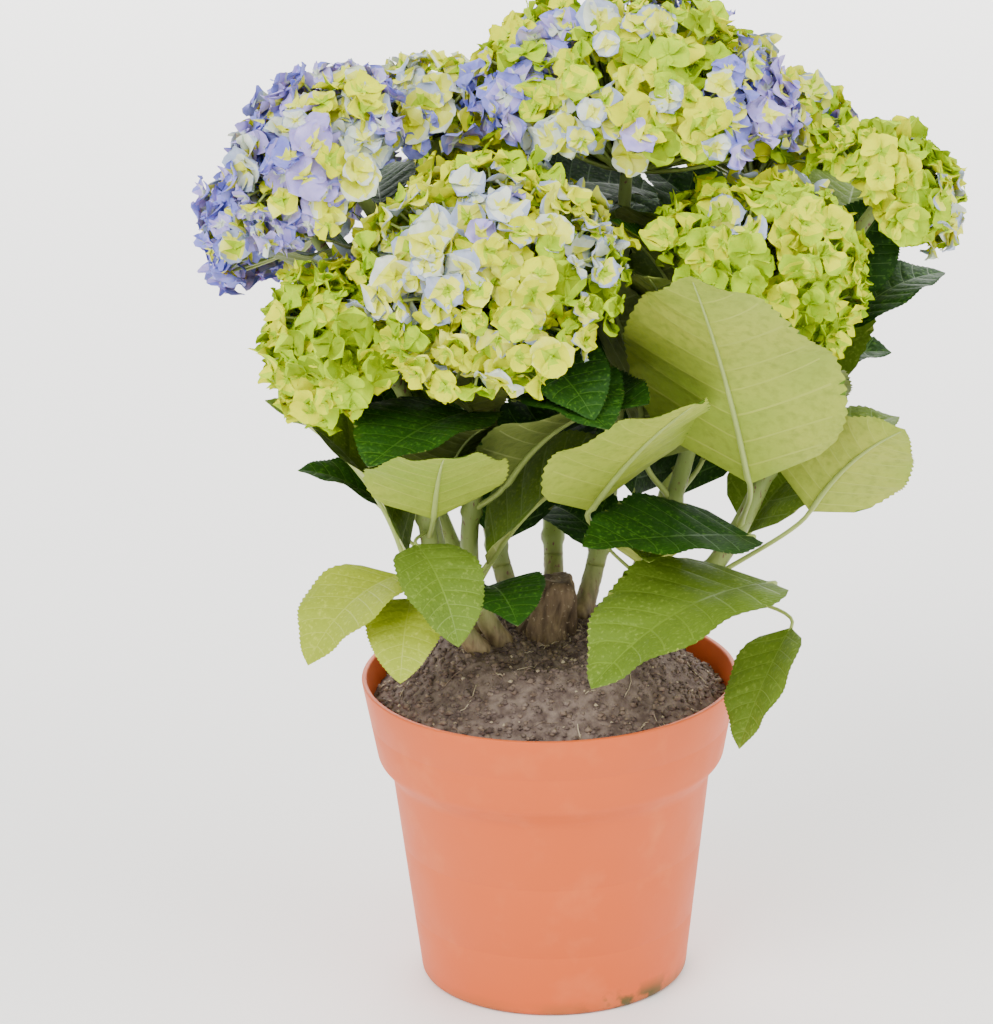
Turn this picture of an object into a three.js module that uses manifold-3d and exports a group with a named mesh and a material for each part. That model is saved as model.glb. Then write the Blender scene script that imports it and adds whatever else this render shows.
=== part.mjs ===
// A florist's hydrangea in bloom, in its round plastic pot.
//
// Millimetres, +Z up. The origin is the centre of the pot's flat underside, and -Y is the plant's front.
// Ten shoots rise from the foot of the plant. Each shoot is a bare stem, then a leafy stretch with opposite
// pairs of leaves, then a flower head: a dome of four-lobed florets that stand out of a smaller core.

import * as THREE from 'three';
import { mergeVertices } from 'three/addons/utils/BufferGeometryUtils.js';
import Module from 'manifold-3d';

const wasm = await Module();
wasm.setup();

// ---- Driving dimensions -------------------------------------------------------------------------

const gap = 0.3; // clear space between two pieces that meet
const weld = 1e-3; // corners closer than this are one corner

const pot = {
  height: 115,
  rimRadius: 68.5,
  collarFoot: 85, // height at which the flared collar ends
  collarRadius: 63,
  bodyTop: 79, // height at which the plain body begins, below the collar's step
  bodyRadius: 58,
  baseRadius: 48.5,
  corner: 3,
  wall: 2,
  floor: 3,
  sides: 44,
  holes: 6,
  holeRadius: 4,
  holeRing: 33,
  holeSides: 6,
};

const soil = {
  edge: 106, // height of the soil against the pot
  shoulder: 116,
  crown: 130, // height of the flat middle that the stems stand on
  crownRadius: 37,
  sides: 32,
};

const stump = {
  x: -1,
  y: 2,
  radius: 8,
  flare: 1.4,
  height: 21,
  lean: 4,
  cut: 0.55, // radius of its cut top, as a share
  ridges: 3,
  ridge: 0.16, // height of a ridge over the radius
  twist: 5, // how far the ridges turn on their way up, in radians
  sides: 9,
  steps: 6,
};

const stem = {
  footRadius: 3.8,
  tipRadius: 2.2,
  rise: 55, // how far a stem keeps its first direction
  spread: 0.75, // sideways part of its first direction
  neck: 50, // how far it runs along the flower head's axis before it gets there
  leafy: 0.12, // share of the shoot at which its own green, leafy stretch begins
  flowering: 0.87, // share of the shoot at which the flower stalk begins
  sides: 6,
  rings: 5,
  flowerRings: 3,
};

const leaf = {
  length: 96,
  widthShare: 0.74,
  thickShare: 0.017,
  stalk: 22,
  stalkRadius: 1.4,
  stalkLift: 10, // least rise of a stalk; half of the blade's own rise adds to it
  fold: 12,
  clearance: 0.7, // how far a blade stays from its neighbours
};

// Where a leaf's rings lie: along its stalk, then along its blade.
const stalkRings = [0, 1];
const bladeRings = [0.1, 0.32, 0.6, 0.84, 1];

// Each pair of leaves up a shoot: its place in the leafy stretch, how its leaves rise and bend, their size.
const pairs = [
  { at: 0.06, lift: 46, bend: 52, size: 0.92 },
  { at: 0.36, lift: 56, bend: 46, size: 1 },
  { at: 0.66, lift: 60, bend: 42, size: 0.9 },
  { at: 0.93, lift: 42, bend: 40, size: 0.6 },
];

// How much the leaves of a pair differ from it, to both sides of its own measure.
const variety = { bearing: 10, lift: 7, bend: 8, roll: 12, fold: 6, size: 0.08 };
const pairFold = 18;

// Leaves that have a place of their own and grow ahead of the pairs. The lead is how far the stalk's bearing
// is turned from the blade's, and at is a share of the whole shoot.
const settled = {
  low_left: [
    { at: 0.34, bearing: 259, lead: 0, lift: 76, bend: 22, size: 0.72, stalk: 26 },
    { at: 0.36, bearing: 297, lead: -40, lift: -14, bend: 56, size: 0.46, stalk: 18 },
    { at: 0.24, bearing: 223, lead: 0, lift: 4, bend: 60, size: 0.54, stalk: 18 },
    { at: 0.2, bearing: 262, lead: -20, lift: -4, bend: 60, size: 0.4, stalk: 22 },
  ],
  front: [
    { at: 0.76, bearing: 300, lead: 0, lift: 10, bend: 24, size: 0.66, stalk: 12 },
    { at: 0.66, bearing: 222, lead: 0, lift: 12, bend: 24, size: 0.7, stalk: 14 },
  ],
  front_right: [{ at: 0.24, bearing: 305, lead: -70, lift: 50, bend: 16, size: 0.88, stalk: 50 }],
  right: [
    { at: 0.27, bearing: 248, lead: 27, lift: 66, bend: 16, size: 1.16, stalk: 38 },
    { at: 0.25, bearing: 212, lead: 80, lift: 14, bend: 10, size: 0.76, stalk: 16, roll: 6 },
    { at: 0.13, bearing: 312, lead: 30, lift: 56, bend: 28, size: 0.66, stalk: 54, roll: 48 },
    { at: 0.14, bearing: 230, lead: 90, lift: -40, bend: 20, size: 0.5, stalk: 42, roll: -20 },
    { at: 0.13, bearing: 216, lead: 104, lift: 11, bend: 50, size: 0.9, stalk: 36 },
    { at: 0.65, bearing: 40, lead: 0, lift: 70, bend: 44, size: 0.44, stalk: 20, roll: -40 },
  ],
};

// Each leaf tries these in turn until it is clear: a smaller blade, a swing to the side, a different rise.
const shrinks = [1, 0.84, 0.68, 0.52];
const swings = [0, 16, -16, 32, -32];
const lifts = [0, 14, -14, 28, -28];

// The plant was grown in a sleeve, so its leaves stay inside a cone that opens upwards.
const cone = { x: 18, y: 4, level: 115, radius: 92, widening: 0.26, top: 298, tested: [0.4, 0.7, 1] };

const bloom = {
  crown: 0.82, // height of a dome over its radius
  under: 0.34, // depth of its underside over its radius
  core: 0.84,
  sunk: 0.1, // how far below a dome's middle its stalk ends, over its radius
  root: 0.75, // how deep a floret's foot is sunk
  floret: 15.5, // radius of a floret
  sizes: [0.9, 1.1], // least and greatest size of a floret, as a share
  dishes: [0.1, 0.3], // least and greatest depth of its middle, over its radius
  notch: 0.72, // radius between two of its lobes, as a share
  lobes: 4,
  lowest: 100, // angle from the top at which the florets end, in degrees
  cover: 2.5, // florets of a full head for each square of a floret's radius in a square of the head's
};

// The shoots: foot on the soil, middle of the flower head, its radius, its tilt away from the plant's
// middle, and the turn of its leaves, which is the bearing of the lowest pair.
const shoots = [
  { name: 'middle', foot: [12, 18], head: [33, 8, 330], radius: 60, tilt: 6, turn: 20, seed: 11 },
  { name: 'front', foot: [-17, -8], head: [-20, -60, 290], radius: 46, tilt: 34, turn: 250, seed: 23 },
  { name: 'front_right', foot: [20, -2], head: [80, -34, 285], radius: 38, tilt: 30, turn: 285, seed: 31 },
  { name: 'right', foot: [32, -8], head: [127, 0, 299], radius: 26, tilt: 42, turn: 350, seed: 47 },
  { name: 'left', foot: [-27, 4], head: [-82, -18, 319], radius: 35, tilt: 50, turn: 215, seed: 53 },
  { name: 'left_back', foot: [-11, 17], head: [-41, 14, 326], radius: 27, tilt: 12, turn: 140, seed: 61 },
  { name: 'low_left', foot: [-25, -16], head: [-77, -50, 262], radius: 29, tilt: 62, turn: 200, seed: 73 },
  { name: 'back_right', foot: [26, 18], head: [86, 88, 290], radius: 39, tilt: 36, turn: 50, seed: 83 },
  { name: 'back', foot: [2, 27], head: [-8, 100, 292], radius: 41, tilt: 36, turn: 95, seed: 97 },
  { name: 'back_left', foot: [-23, 19], head: [-92, 64, 278], radius: 38, tilt: 42, turn: 165, seed: 101 },
];

// Stems that lean out more than the others.
const bow = { right: { rise: 82, spread: 1.25 }, low_left: { rise: 60, spread: 0.9 } };

// Heads that are open below, with the angle from the top at which their florets end, in degrees.
const openBelow = { middle: 80 };

const leafSeed = 1000; // keeps a shoot's leaves apart from its florets

const colours = {
  pot: { color: 0xd9855f, roughness: 0.55 },
  soil: { color: 0x4a3a33, roughness: 0.95 },
  wood: { color: 0x7a6650, roughness: 0.85 },
  stem: { color: 0x8a9a5a, roughness: 0.6 },
  leaf: { color: 0x5f8a3c, roughness: 0.5 },
  bloom: { color: 0xc8d65a, roughness: 0.7 },
};

// ---- Small helpers ------------------------------------------------------------------------------

const up = new THREE.Vector3(0, 0, 1);
const rad = THREE.MathUtils.degToRad;
const goldenAngle = Math.PI * (3 - Math.sqrt(5));

// Even random numbers from 0 to 1, the same ones each time for a seed.
function dice(seed) {
  let state = seed;
  return () => {
    state = (state * 1664525 + 1013904223) % 4294967296;
    return state / 4294967296;
  };
}

// A number between two others, and one up to a span to either side of a middle.
const between = ([least, greatest], random) => least + (greatest - least) * random();
const around = (middle, span, random) => middle + span * (2 * random() - 1);

function bearingVector(degrees) {
  return new THREE.Vector3(Math.cos(rad(degrees)), Math.sin(rad(degrees)), 0);
}

// A closed three.js geometry as a solid. Corners that share a place become one, and faces with no width go.
function solidOf(geometry) {
  const bare = new THREE.BufferGeometry();
  const flat = geometry.index ? geometry.toNonIndexed() : geometry;
  bare.setAttribute('position', flat.getAttribute('position'));
  const merged = mergeVertices(bare, weld);
  const kept = [];
  const index = merged.index.array;
  for (let i = 0; i < index.length; i += 3) {
    const [a, b, c] = [index[i], index[i + 1], index[i + 2]];
    if (a !== b && b !== c && c !== a) kept.push(a, b, c);
  }
  return new wasm.Manifold(
    new wasm.Mesh({
      numProp: 3,
      vertProperties: merged.getAttribute('position').array,
      triVerts: new Uint32Array(kept),
    }),
  );
}

function geometryOf(solid) {
  const mesh = solid.getMesh();
  const geometry = new THREE.BufferGeometry();
  geometry.setAttribute('position', new THREE.BufferAttribute(new Float32Array(mesh.vertProperties), 3));
  geometry.setIndex(new THREE.BufferAttribute(new Uint32Array(mesh.triVerts), 1));
  const faceted = geometry.toNonIndexed();
  faceted.computeVertexNormals();
  return faceted;
}

// A closed skin over rings: place(angle, share) puts each corner, from the foot (0) to the tip (1).
function loft(sides, steps, place) {
  const geometry = new THREE.CylinderGeometry(1, 1, 1, sides, steps);
  const corners = geometry.getAttribute('position');
  for (let i = 0; i < corners.count; i += 1) {
    const [x, y, z] = [corners.getX(i), corners.getY(i), corners.getZ(i)];
    const onAxis = Math.hypot(x, z) < 0.5;
    const point = place(Math.atan2(x, z), y + 0.5, onAxis);
    corners.setXYZ(i, point.x, point.y, point.z);
  }
  return solidOf(geometry);
}

// Two directions square to a third, turning the right way round it.
function across(direction) {
  const side = new THREE.Vector3().crossVectors(direction, up);
  if (side.length() < weld) side.set(1, 0, 0);
  side.normalize();
  return [side, new THREE.Vector3().crossVectors(direction, side).normalize()];
}

// A tapering limb along part of a curve. A flat foot keeps its first ring level.
function limb(curve, from, to, radiusAt, sides, steps, flatFoot = false) {
  return loft(sides, steps, (angle, share, onAxis) => {
    const t = from + (to - from) * share;
    const centre = curve.getPoint(t);
    const direction = flatFoot && share === 0 ? up : curve.getTangent(t);
    const [side, fore] = across(direction);
    const radius = onAxis ? 0 : radiusAt(t);
    centre.addScaledVector(side, radius * Math.cos(angle));
    return centre.addScaledVector(fore, radius * Math.sin(angle));
  });
}

// ---- Pot, soil and stump ------------------------------------------------------------------------

function lathe(profile, sides) {
  const points = profile.map(([r, z]) => new THREE.Vector2(r, z));
  const geometry = new THREE.LatheGeometry(points, sides);
  geometry.rotateX(Math.PI / 2);
  return solidOf(geometry);
}

// Radius of the pot's outside at a height.
function potRadius(z) {
  if (z >= pot.collarFoot) {
    const share = (z - pot.collarFoot) / (pot.height - pot.collarFoot);
    return THREE.MathUtils.lerp(pot.collarRadius, pot.rimRadius, share);
  }
  if (z >= pot.bodyTop) {
    const share = (z - pot.bodyTop) / (pot.collarFoot - pot.bodyTop);
    return THREE.MathUtils.lerp(pot.bodyRadius, pot.collarRadius, share);
  }
  return THREE.MathUtils.lerp(pot.baseRadius, pot.bodyRadius, z / pot.bodyTop);
}

const potLevels = [pot.bodyTop, pot.collarFoot];

function makePot() {
  const outside = [pot.corner, ...potLevels, pot.height].map((z) => [potRadius(z), z]);
  const inside = [pot.height, ...potLevels.toReversed(), pot.floor].map((z) => [potRadius(z) - pot.wall, z]);
  const underside = [pot.baseRadius - pot.corner, 0];
  let made = lathe([[0, 0], underside, ...outside, ...inside, [0, pot.floor]], pot.sides);
  for (let i = 0; i < pot.holes; i += 1) {
    const bearing = bearingVector((360 * (i + 0.5)) / pot.holes).multiplyScalar(pot.holeRing);
    const hole = new THREE.CylinderGeometry(pot.holeRadius, pot.holeRadius, 4 * pot.floor, pot.holeSides);
    hole.rotateX(Math.PI / 2);
    hole.translate(bearing.x, bearing.y, 0);
    made = made.subtract(solidOf(hole));
  }
  return made;
}

function makeSoil() {
  const inset = pot.wall + gap;
  const sideLevels = [pot.floor + gap, ...potLevels, soil.edge];
  const side = sideLevels.map((z) => [potRadius(z) - inset, z]);
  const shoulderRadius = (soil.crownRadius + potRadius(soil.edge)) / 2;
  const top = [
    [shoulderRadius, soil.shoulder],
    [soil.crownRadius, soil.crown],
  ];
  return lathe([[0, pot.floor + gap], ...side, ...top, [0, soil.crown]], soil.sides);
}

function makeStump() {
  const foot = soil.crown + gap;
  return loft(stump.sides, stump.steps, (angle, share, onAxis) => {
    const flare = 1 + (stump.flare - 1) * (1 - share) ** 3;
    const ridge = 1 + stump.ridge * Math.sin(stump.ridges * angle + stump.twist * share);
    const cut = share === 1 ? stump.cut : 1;
    const radius = onAxis ? 0 : stump.radius * flare * ridge * cut;
    return new THREE.Vector3(
      stump.x + stump.lean * share + radius * Math.cos(angle),
      stump.y + radius * Math.sin(angle),
      foot + stump.height * share,
    );
  });
}

// ---- Shoots -------------------------------------------------------------------------------------

// A shoot's own measures: its flower head's axis and the curve of its stem from the soil to the head.
function layOut(shoot) {
  const centre = new THREE.Vector3(...shoot.head);
  const outward = new THREE.Vector3(centre.x, centre.y, 0).normalize();
  const axis = up.clone().multiplyScalar(Math.cos(rad(shoot.tilt)));
  axis.addScaledVector(outward, Math.sin(rad(shoot.tilt)));
  const middle = centre.addScaledVector(axis, (-shoot.radius * (bloom.crown - bloom.under)) / 2);
  const foot = new THREE.Vector3(...shoot.foot, soil.crown + gap);
  const { rise, spread } = bow[shoot.name] ?? stem;
  const first = new THREE.Vector3(foot.x, foot.y, 0).normalize().multiplyScalar(spread).add(up).normalize();
  const curve = new THREE.CubicBezierCurve3(
    foot,
    foot.clone().addScaledVector(first, rise),
    middle.clone().addScaledVector(axis, -stem.neck - bloom.under * shoot.radius),
    middle.clone().addScaledVector(axis, -bloom.sunk * shoot.radius),
  );
  return { ...shoot, middle, axis, curve };
}

const stemRadius = (t) => THREE.MathUtils.lerp(stem.footRadius, stem.tipRadius, t);

// Stretch of a shoot between two shares of its length, short of what it meets at its far end.
function stretch(shoot, from, to, rings, flatFoot = false) {
  const clear = gap / shoot.curve.getLength();
  return limb(shoot.curve, from, to - clear, stemRadius, stem.sides, rings, flatFoot);
}

// ---- Flower heads -------------------------------------------------------------------------------

// A point of a dome, by its angle from the top and its bearing round the axis.
function domePoint(shoot, polar, bearing, scale) {
  const [side, fore] = across(shoot.axis);
  const height = Math.cos(polar) * (Math.cos(polar) > 0 ? bloom.crown : bloom.under);
  return shoot.middle
    .clone()
    .addScaledVector(side, scale * shoot.radius * Math.sin(polar) * Math.cos(bearing))
    .addScaledVector(fore, scale * shoot.radius * Math.sin(polar) * Math.sin(bearing))
    .addScaledVector(shoot.axis, scale * shoot.radius * height);
}

function makeCore(shoot) {
  const geometry = new THREE.IcosahedronGeometry(1, 1);
  const corners = geometry.getAttribute('position');
  for (let i = 0; i < corners.count; i += 1) {
    const corner = new THREE.Vector3().fromBufferAttribute(corners, i).normalize();
    const point = domePoint(shoot, Math.acos(corner.z), Math.atan2(corner.y, corner.x), bloom.core);
    corners.setXYZ(i, point.x, point.y, point.z);
  }
  return solidOf(geometry);
}

// A funnel with four lobes: its point is sunk in the core and its lobes spread over the dome's surface.
function makeFloret(shoot, polar, bearing, random) {
  const lip = domePoint(shoot, polar, bearing, 1);
  const root = domePoint(shoot, polar, bearing, bloom.root);
  const facing = lip.clone().sub(root).normalize();
  const [side, fore] = across(facing);
  const turn = random() * Math.PI;
  const size = bloom.floret * between(bloom.sizes, random);
  const dish = size * between(bloom.dishes, random);
  const centre = lip.clone().addScaledVector(facing, -dish);
  return loft(2 * bloom.lobes, 2, (angle, share) => {
    if (share === 0) return root.clone();
    if (share === 1) return centre.clone();
    const isLobe = Math.round((angle / Math.PI) * bloom.lobes + 2 * bloom.lobes) % 2 === 0;
    const reach = size * (isLobe ? 1 : bloom.notch);
    return lip
      .clone()
      .addScaledVector(side, reach * Math.cos(angle + turn))
      .addScaledVector(fore, reach * Math.sin(angle + turn));
  });
}

// A head grows from its core and stalk, and its florets keep clear of what stands there already.
function makeBloom(shoot, core, others) {
  const random = dice(shoot.seed);
  const full = 1 - Math.cos(rad(bloom.lowest));
  const part = 1 - Math.cos(rad(openBelow[shoot.name] ?? bloom.lowest));
  const count = Math.round((bloom.cover * (shoot.radius / bloom.floret) ** 2 * part) / full);
  let head = core;
  for (let i = 0; i < count; i += 1) {
    const polar = Math.acos(1 - ((i + 0.5) / count) * part);
    const floret = makeFloret(shoot, polar, i * goldenAngle, random);
    if (isClear(floret, others)) head = head.add(floret);
  }
  return head;
}

// ---- Leaves -------------------------------------------------------------------------------------

// Half width of a blade along its length, as a share of its widest: ovate, with a drawn-out tip.
function bladeShape(s) {
  const [low, high] = [0.6, 1.0];
  const peak = low / (low + high);
  return (s / peak) ** low * ((1 - s) / (1 - peak)) ** high;
}

// A point of a blade: s runs from foot to tip, w is the way from the midrib and h the height over it.
function bladePoint(blade, s, w, h) {
  const angle = blade.lift - blade.bend * s;
  const along = (blade.length * (Math.sin(blade.lift) - Math.sin(angle))) / blade.bend;
  const rise = (blade.length * (Math.cos(angle) - Math.cos(blade.lift))) / blade.bend;
  const normal = up.clone().multiplyScalar(Math.cos(angle));
  normal.addScaledVector(blade.out, -Math.sin(angle));
  const side = new THREE.Vector3().crossVectors(blade.out, up);
  const tilted = side.clone().multiplyScalar(Math.cos(blade.roll));
  tilted.addScaledVector(normal, Math.sin(blade.roll));
  const facing = normal.multiplyScalar(Math.cos(blade.roll)).addScaledVector(side, -Math.sin(blade.roll));
  return blade.foot
    .clone()
    .addScaledVector(blade.out, along)
    .addScaledVector(up, rise)
    .addScaledVector(tilted, w * Math.cos(blade.fold))
    .addScaledVector(facing, Math.abs(w) * Math.sin(blade.fold) + h);
}

// A corner of a stalk's ring, which faces the bearing that the stalk has there.
function stalkCorner(blade, root, along, w, h) {
  const out = bearingVector(blade.bearing + blade.lead * (1 - along / 2));
  const side = new THREE.Vector3().crossVectors(out, up);
  const normal = up.clone().multiplyScalar(Math.cos(blade.stalkLift));
  normal.addScaledVector(out, -Math.sin(blade.stalkLift));
  const centre = root.clone().lerp(blade.foot, along);
  return centre.addScaledVector(side, w * leaf.stalkRadius).addScaledVector(normal, h * leaf.stalkRadius);
}

// A leaf as a solid: four corners to each ring, its two edges, its midrib's top and its midrib's underside.
// Without a root it is the bare blade.
function makeLeaf(blade, root = null, swell = 0) {
  const thick = leaf.thickShare * blade.length;
  const rings = bladeRings.map((s) => ({ s }));
  if (root) rings.unshift(...stalkRings.map((along) => ({ along })));
  return loft(4, rings.length - 1, (angle, share, onAxis) => {
    const { s, along } = rings[Math.round(share * (rings.length - 1))];
    const w = onAxis ? 0 : Math.round(Math.sin(angle));
    const h = onAxis ? 0 : Math.round(Math.cos(angle));
    if (along !== undefined) return stalkCorner(blade, root, along, w, h);
    if (s === 1) return bladePoint(blade, 1, 0, 0);
    const half = Math.max((blade.width / 2) * bladeShape(s), leaf.stalkRadius);
    return bladePoint(blade, s, w * half, h * (thick / 2 + swell));
  });
}

// One leaf as it wishes to grow: bearing, lead, lift, bend, roll, fold, size and stalk.
function layLeaf(root, wish) {
  const lift = rad(wish.lift);
  const stalkLift = rad(leaf.stalkLift + wish.lift / 2);
  const stalkOut = bearingVector(wish.bearing + wish.lead);
  const foot = root.clone().addScaledVector(stalkOut, wish.stalk * Math.cos(stalkLift));
  foot.addScaledVector(up, wish.stalk * Math.sin(stalkLift));
  const length = leaf.length * wish.size;
  return {
    foot,
    lift,
    length,
    stalkLift,
    bearing: wish.bearing,
    lead: wish.lead,
    out: bearingVector(wish.bearing),
    width: length * leaf.widthShare,
    bend: rad(wish.bend),
    roll: rad(wish.roll),
    fold: rad(wish.fold),
  };
}

// The first of a leaf's ways round its neighbours that is clear, or nothing.
function growLeaf(root, wish, taken, own) {
  for (const shrink of shrinks) {
    for (const swing of swings) {
      for (const change of lifts) {
        const blade = layLeaf(root, {
          ...wish,
          bearing: wish.bearing + swing,
          lift: wish.lift + change,
          size: wish.size * shrink,
          stalk: (wish.stalk * (1 + shrink)) / 2,
        });
        if (!wish.settled && !isInCone(blade)) continue;
        const swollen = makeLeaf(blade, null, leaf.clearance);
        if (!isClear(swollen, taken) || !isClear(swollen, own)) continue;
        const grown = makeLeaf(blade, root);
        if (isClear(grown, taken)) return grown;
      }
    }
  }
  return null;
}

function isInCone(blade) {
  return cone.tested.every((s) => {
    const point = bladePoint(blade, s, 0, 0);
    const limit = cone.radius + cone.widening * (point.z - cone.level);
    return point.z < cone.top && Math.hypot(point.x - cone.x, point.y - cone.y) < limit;
  });
}

// A leaf's small differences from its neighbours.
function vary(wish, random) {
  return {
    ...wish,
    bearing: around(wish.bearing, variety.bearing, random),
    lift: around(wish.lift, variety.lift, random),
    bend: around(wish.bend, variety.bend, random),
    roll: around(0, variety.roll, random),
    fold: around(pairFold, variety.fold, random),
    size: wish.size * around(1, variety.size, random),
  };
}

// Every leaf that a shoot would like to have, each with the share of the shoot at which it grows.
function leafWishes(shoot) {
  const random = dice(shoot.seed + leafSeed);
  const plain = { settled: true, roll: 0, fold: leaf.fold };
  const own = (settled[shoot.name] ?? []).map((wish) => ({ ...plain, ...wish }));
  const paired = pairs.flatMap((pair, node) =>
    [0, 180].map((half) => {
      const at = THREE.MathUtils.lerp(stem.leafy, stem.flowering, pair.at);
      const bearing = shoot.turn + 90 * node + half;
      return vary({ ...pair, at, bearing, lead: 0, stalk: leaf.stalk }, random);
    }),
  );
  return { own, paired };
}

// ---- Keeping pieces apart -----------------------------------------------------------------------

function spaceOf(solid) {
  return { solid, box: solid.boundingBox() };
}

function boxesMeet(a, b) {
  return [0, 1, 2].every((k) => a.min[k] - gap < b.max[k] && b.min[k] - gap < a.max[k]);
}

function isClear(solid, taken) {
  const box = solid.boundingBox();
  return taken.every((space) => !boxesMeet(box, space.box) || solid.intersect(space.solid).isEmpty());
}

// ---- The whole plant ----------------------------------------------------------------------------

const plant = new THREE.Group();
const taken = [];

function addNode(name, solid, look) {
  const material = new THREE.MeshStandardMaterial({ ...colours[look], metalness: 0 });
  const mesh = new THREE.Mesh(geometryOf(solid), material);
  mesh.name = name;
  plant.add(mesh);
  taken.push(spaceOf(solid));
}

addNode('pot', makePot(), 'pot');
addNode('soil', makeSoil(), 'soil');
addNode('woody_base', makeStump(), 'wood');

const laidOut = shoots.map(layOut);
for (const shoot of laidOut) {
  addNode(`stem_${shoot.name}`, stretch(shoot, 0, stem.leafy, stem.rings, true), 'stem');
}

const cores = laidOut.map((shoot) =>
  makeCore(shoot).add(stretch(shoot, stem.flowering, 1, stem.flowerRings)),
);
laidOut.forEach((shoot, i) => {
  const others = [...taken, ...cores.filter((_, j) => j > i).map(spaceOf)];
  addNode(`bloom_${shoot.name}`, makeBloom(shoot, cores[i], others), 'bloom');
});

// The leaves grow shoot by shoot: first those with a place of their own, then the pairs.
const leafy = laidOut.map((shoot) => ({ shoot, wishes: leafWishes(shoot), pieces: [], spaces: [] }));
for (const one of leafy) {
  one.pieces.push(stretch(one.shoot, stem.leafy, stem.flowering, stem.rings));
  one.spaces.push(spaceOf(one.pieces[0]));
}
const priority = Object.keys(settled);
const rank = (one) => priority.indexOf(one.shoot.name);
const inOrder = leafy.toSorted((a, b) => rank(b) - rank(a));
for (const group of ['own', 'paired']) {
  for (const one of inOrder) {
    const others = [...taken, ...leafy.filter((other) => other !== one).flatMap((other) => other.spaces)];
    for (const wish of one.wishes[group]) {
      const grown = growLeaf(one.shoot.curve.getPoint(wish.at), wish, others, one.spaces);
      if (!grown) continue;
      one.pieces.push(grown);
      one.spaces.push(spaceOf(grown));
    }
  }
}
for (const { shoot, pieces } of leafy) {
  addNode(`leaves_${shoot.name}`, pieces.reduce((whole, piece) => whole.add(piece)), 'leaf');
}

export default plant;
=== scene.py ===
import itertools
import math

import bmesh
import bpy
import numpy as np
from mathutils import Matrix, Vector, kdtree, noise


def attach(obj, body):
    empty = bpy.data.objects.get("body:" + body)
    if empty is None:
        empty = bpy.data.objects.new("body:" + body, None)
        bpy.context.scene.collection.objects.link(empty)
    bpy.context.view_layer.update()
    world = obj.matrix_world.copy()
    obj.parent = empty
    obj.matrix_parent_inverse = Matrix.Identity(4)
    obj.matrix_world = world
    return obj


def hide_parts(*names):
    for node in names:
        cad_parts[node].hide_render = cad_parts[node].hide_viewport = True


# A florist's hydrangea in its plastic pot. The solids of the frame say where every shoot, leaf and flower
# head is. Here each of them grows again by the same rule, with its real outline, veins and sepals.

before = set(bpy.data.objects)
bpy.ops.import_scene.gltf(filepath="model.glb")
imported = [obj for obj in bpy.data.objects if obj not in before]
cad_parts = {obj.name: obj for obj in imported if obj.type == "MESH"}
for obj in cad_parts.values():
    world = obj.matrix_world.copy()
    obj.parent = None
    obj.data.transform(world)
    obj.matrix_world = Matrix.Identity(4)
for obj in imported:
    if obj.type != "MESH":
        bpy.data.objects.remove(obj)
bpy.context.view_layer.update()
mm = 0.001  # shapes are worked out in millimetres

plan = {  # the measures that the solids were grown with
    "gap": 0.3,
    "weld": 1e-3,
    "leafSeed": 1000,
    "potHeight": 115, "rimRadius": 68.5, "collarFoot": 85, "collarRadius": 63, "bodyTop": 79,
    "bodyRadius": 58, "baseRadius": 48.5, "wall": 2, "floor": 3,
    "soilEdge": 106, "soilShoulder": 116, "soilCrown": 130, "crownRadius": 37,
    "stemFoot": 3.8, "stemTip": 2.2, "rise": 55, "spread": 0.75, "neck": 50,
    "leafy": 0.12, "flowering": 0.87,
    "leafLength": 96, "widthShare": 0.74, "widest": 0.375, "roundness": 0.6,
    "stalk": 22, "stalkLift": 10, "fold": 12, "pairFold": 18,
    "domeCrown": 0.82, "domeUnder": 0.34, "domeSunk": 0.1,
}

variety = {"bearing": 10, "lift": 7, "bend": 8, "roll": 12, "fold": 6, "size": 0.08}

pairs = [
    {"at": 0.06, "lift": 46, "bend": 52, "size": 0.92},
    {"at": 0.36, "lift": 56, "bend": 46, "size": 1},
    {"at": 0.66, "lift": 60, "bend": 42, "size": 0.9},
    {"at": 0.93, "lift": 42, "bend": 40, "size": 0.6},
]

# the leaves that have a place of their own, in the order of these terms
leafTerms = ("at", "bearing", "lead", "lift", "bend", "size", "stalk", "roll", "tint")
settled = {
    "low_left": [
        (0.34, 259, 0, 76, 22, 0.72, 26, 0, "pale"),
        (0.36, 297, -40, -14, 56, 0.46, 18, 0, "mid"),
        (0.24, 223, 0, 4, 60, 0.54, 18, 0, "fresh"),
        (0.2, 262, -20, -4, 60, 0.4, 22, 0, "fresh"),
    ],
    "front": [
        (0.76, 300, 0, 10, 24, 0.66, 12, 0, "dark"),
        (0.66, 222, 0, 12, 24, 0.7, 14, 0, "dark"),
    ],
    "front_right": [
        (0.24, 305, -70, 50, 16, 0.88, 50, 0, "pale"),
    ],
    "right": [
        (0.27, 248, 27, 66, 16, 1.16, 38, 0, "pale"),
        (0.25, 212, 80, 14, 10, 0.76, 16, 6, "dark"),
        (0.13, 312, 30, 56, 28, 0.66, 54, 48, "pale"),
        (0.14, 230, 90, -40, 20, 0.5, 42, -20, "mid"),
        (0.13, 216, 104, 11, 50, 0.9, 36, 0, "mid"),
        (0.65, 40, 0, 70, 44, 0.44, 20, -40, "dark"),
    ],
}

# the ways round a neighbour that a leaf was tried in
shrinks = [1, 0.84, 0.68, 0.52]
swings = [0, 16, -16, 32, -32]
lifts = [0, 14, -14, 28, -28]

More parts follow.
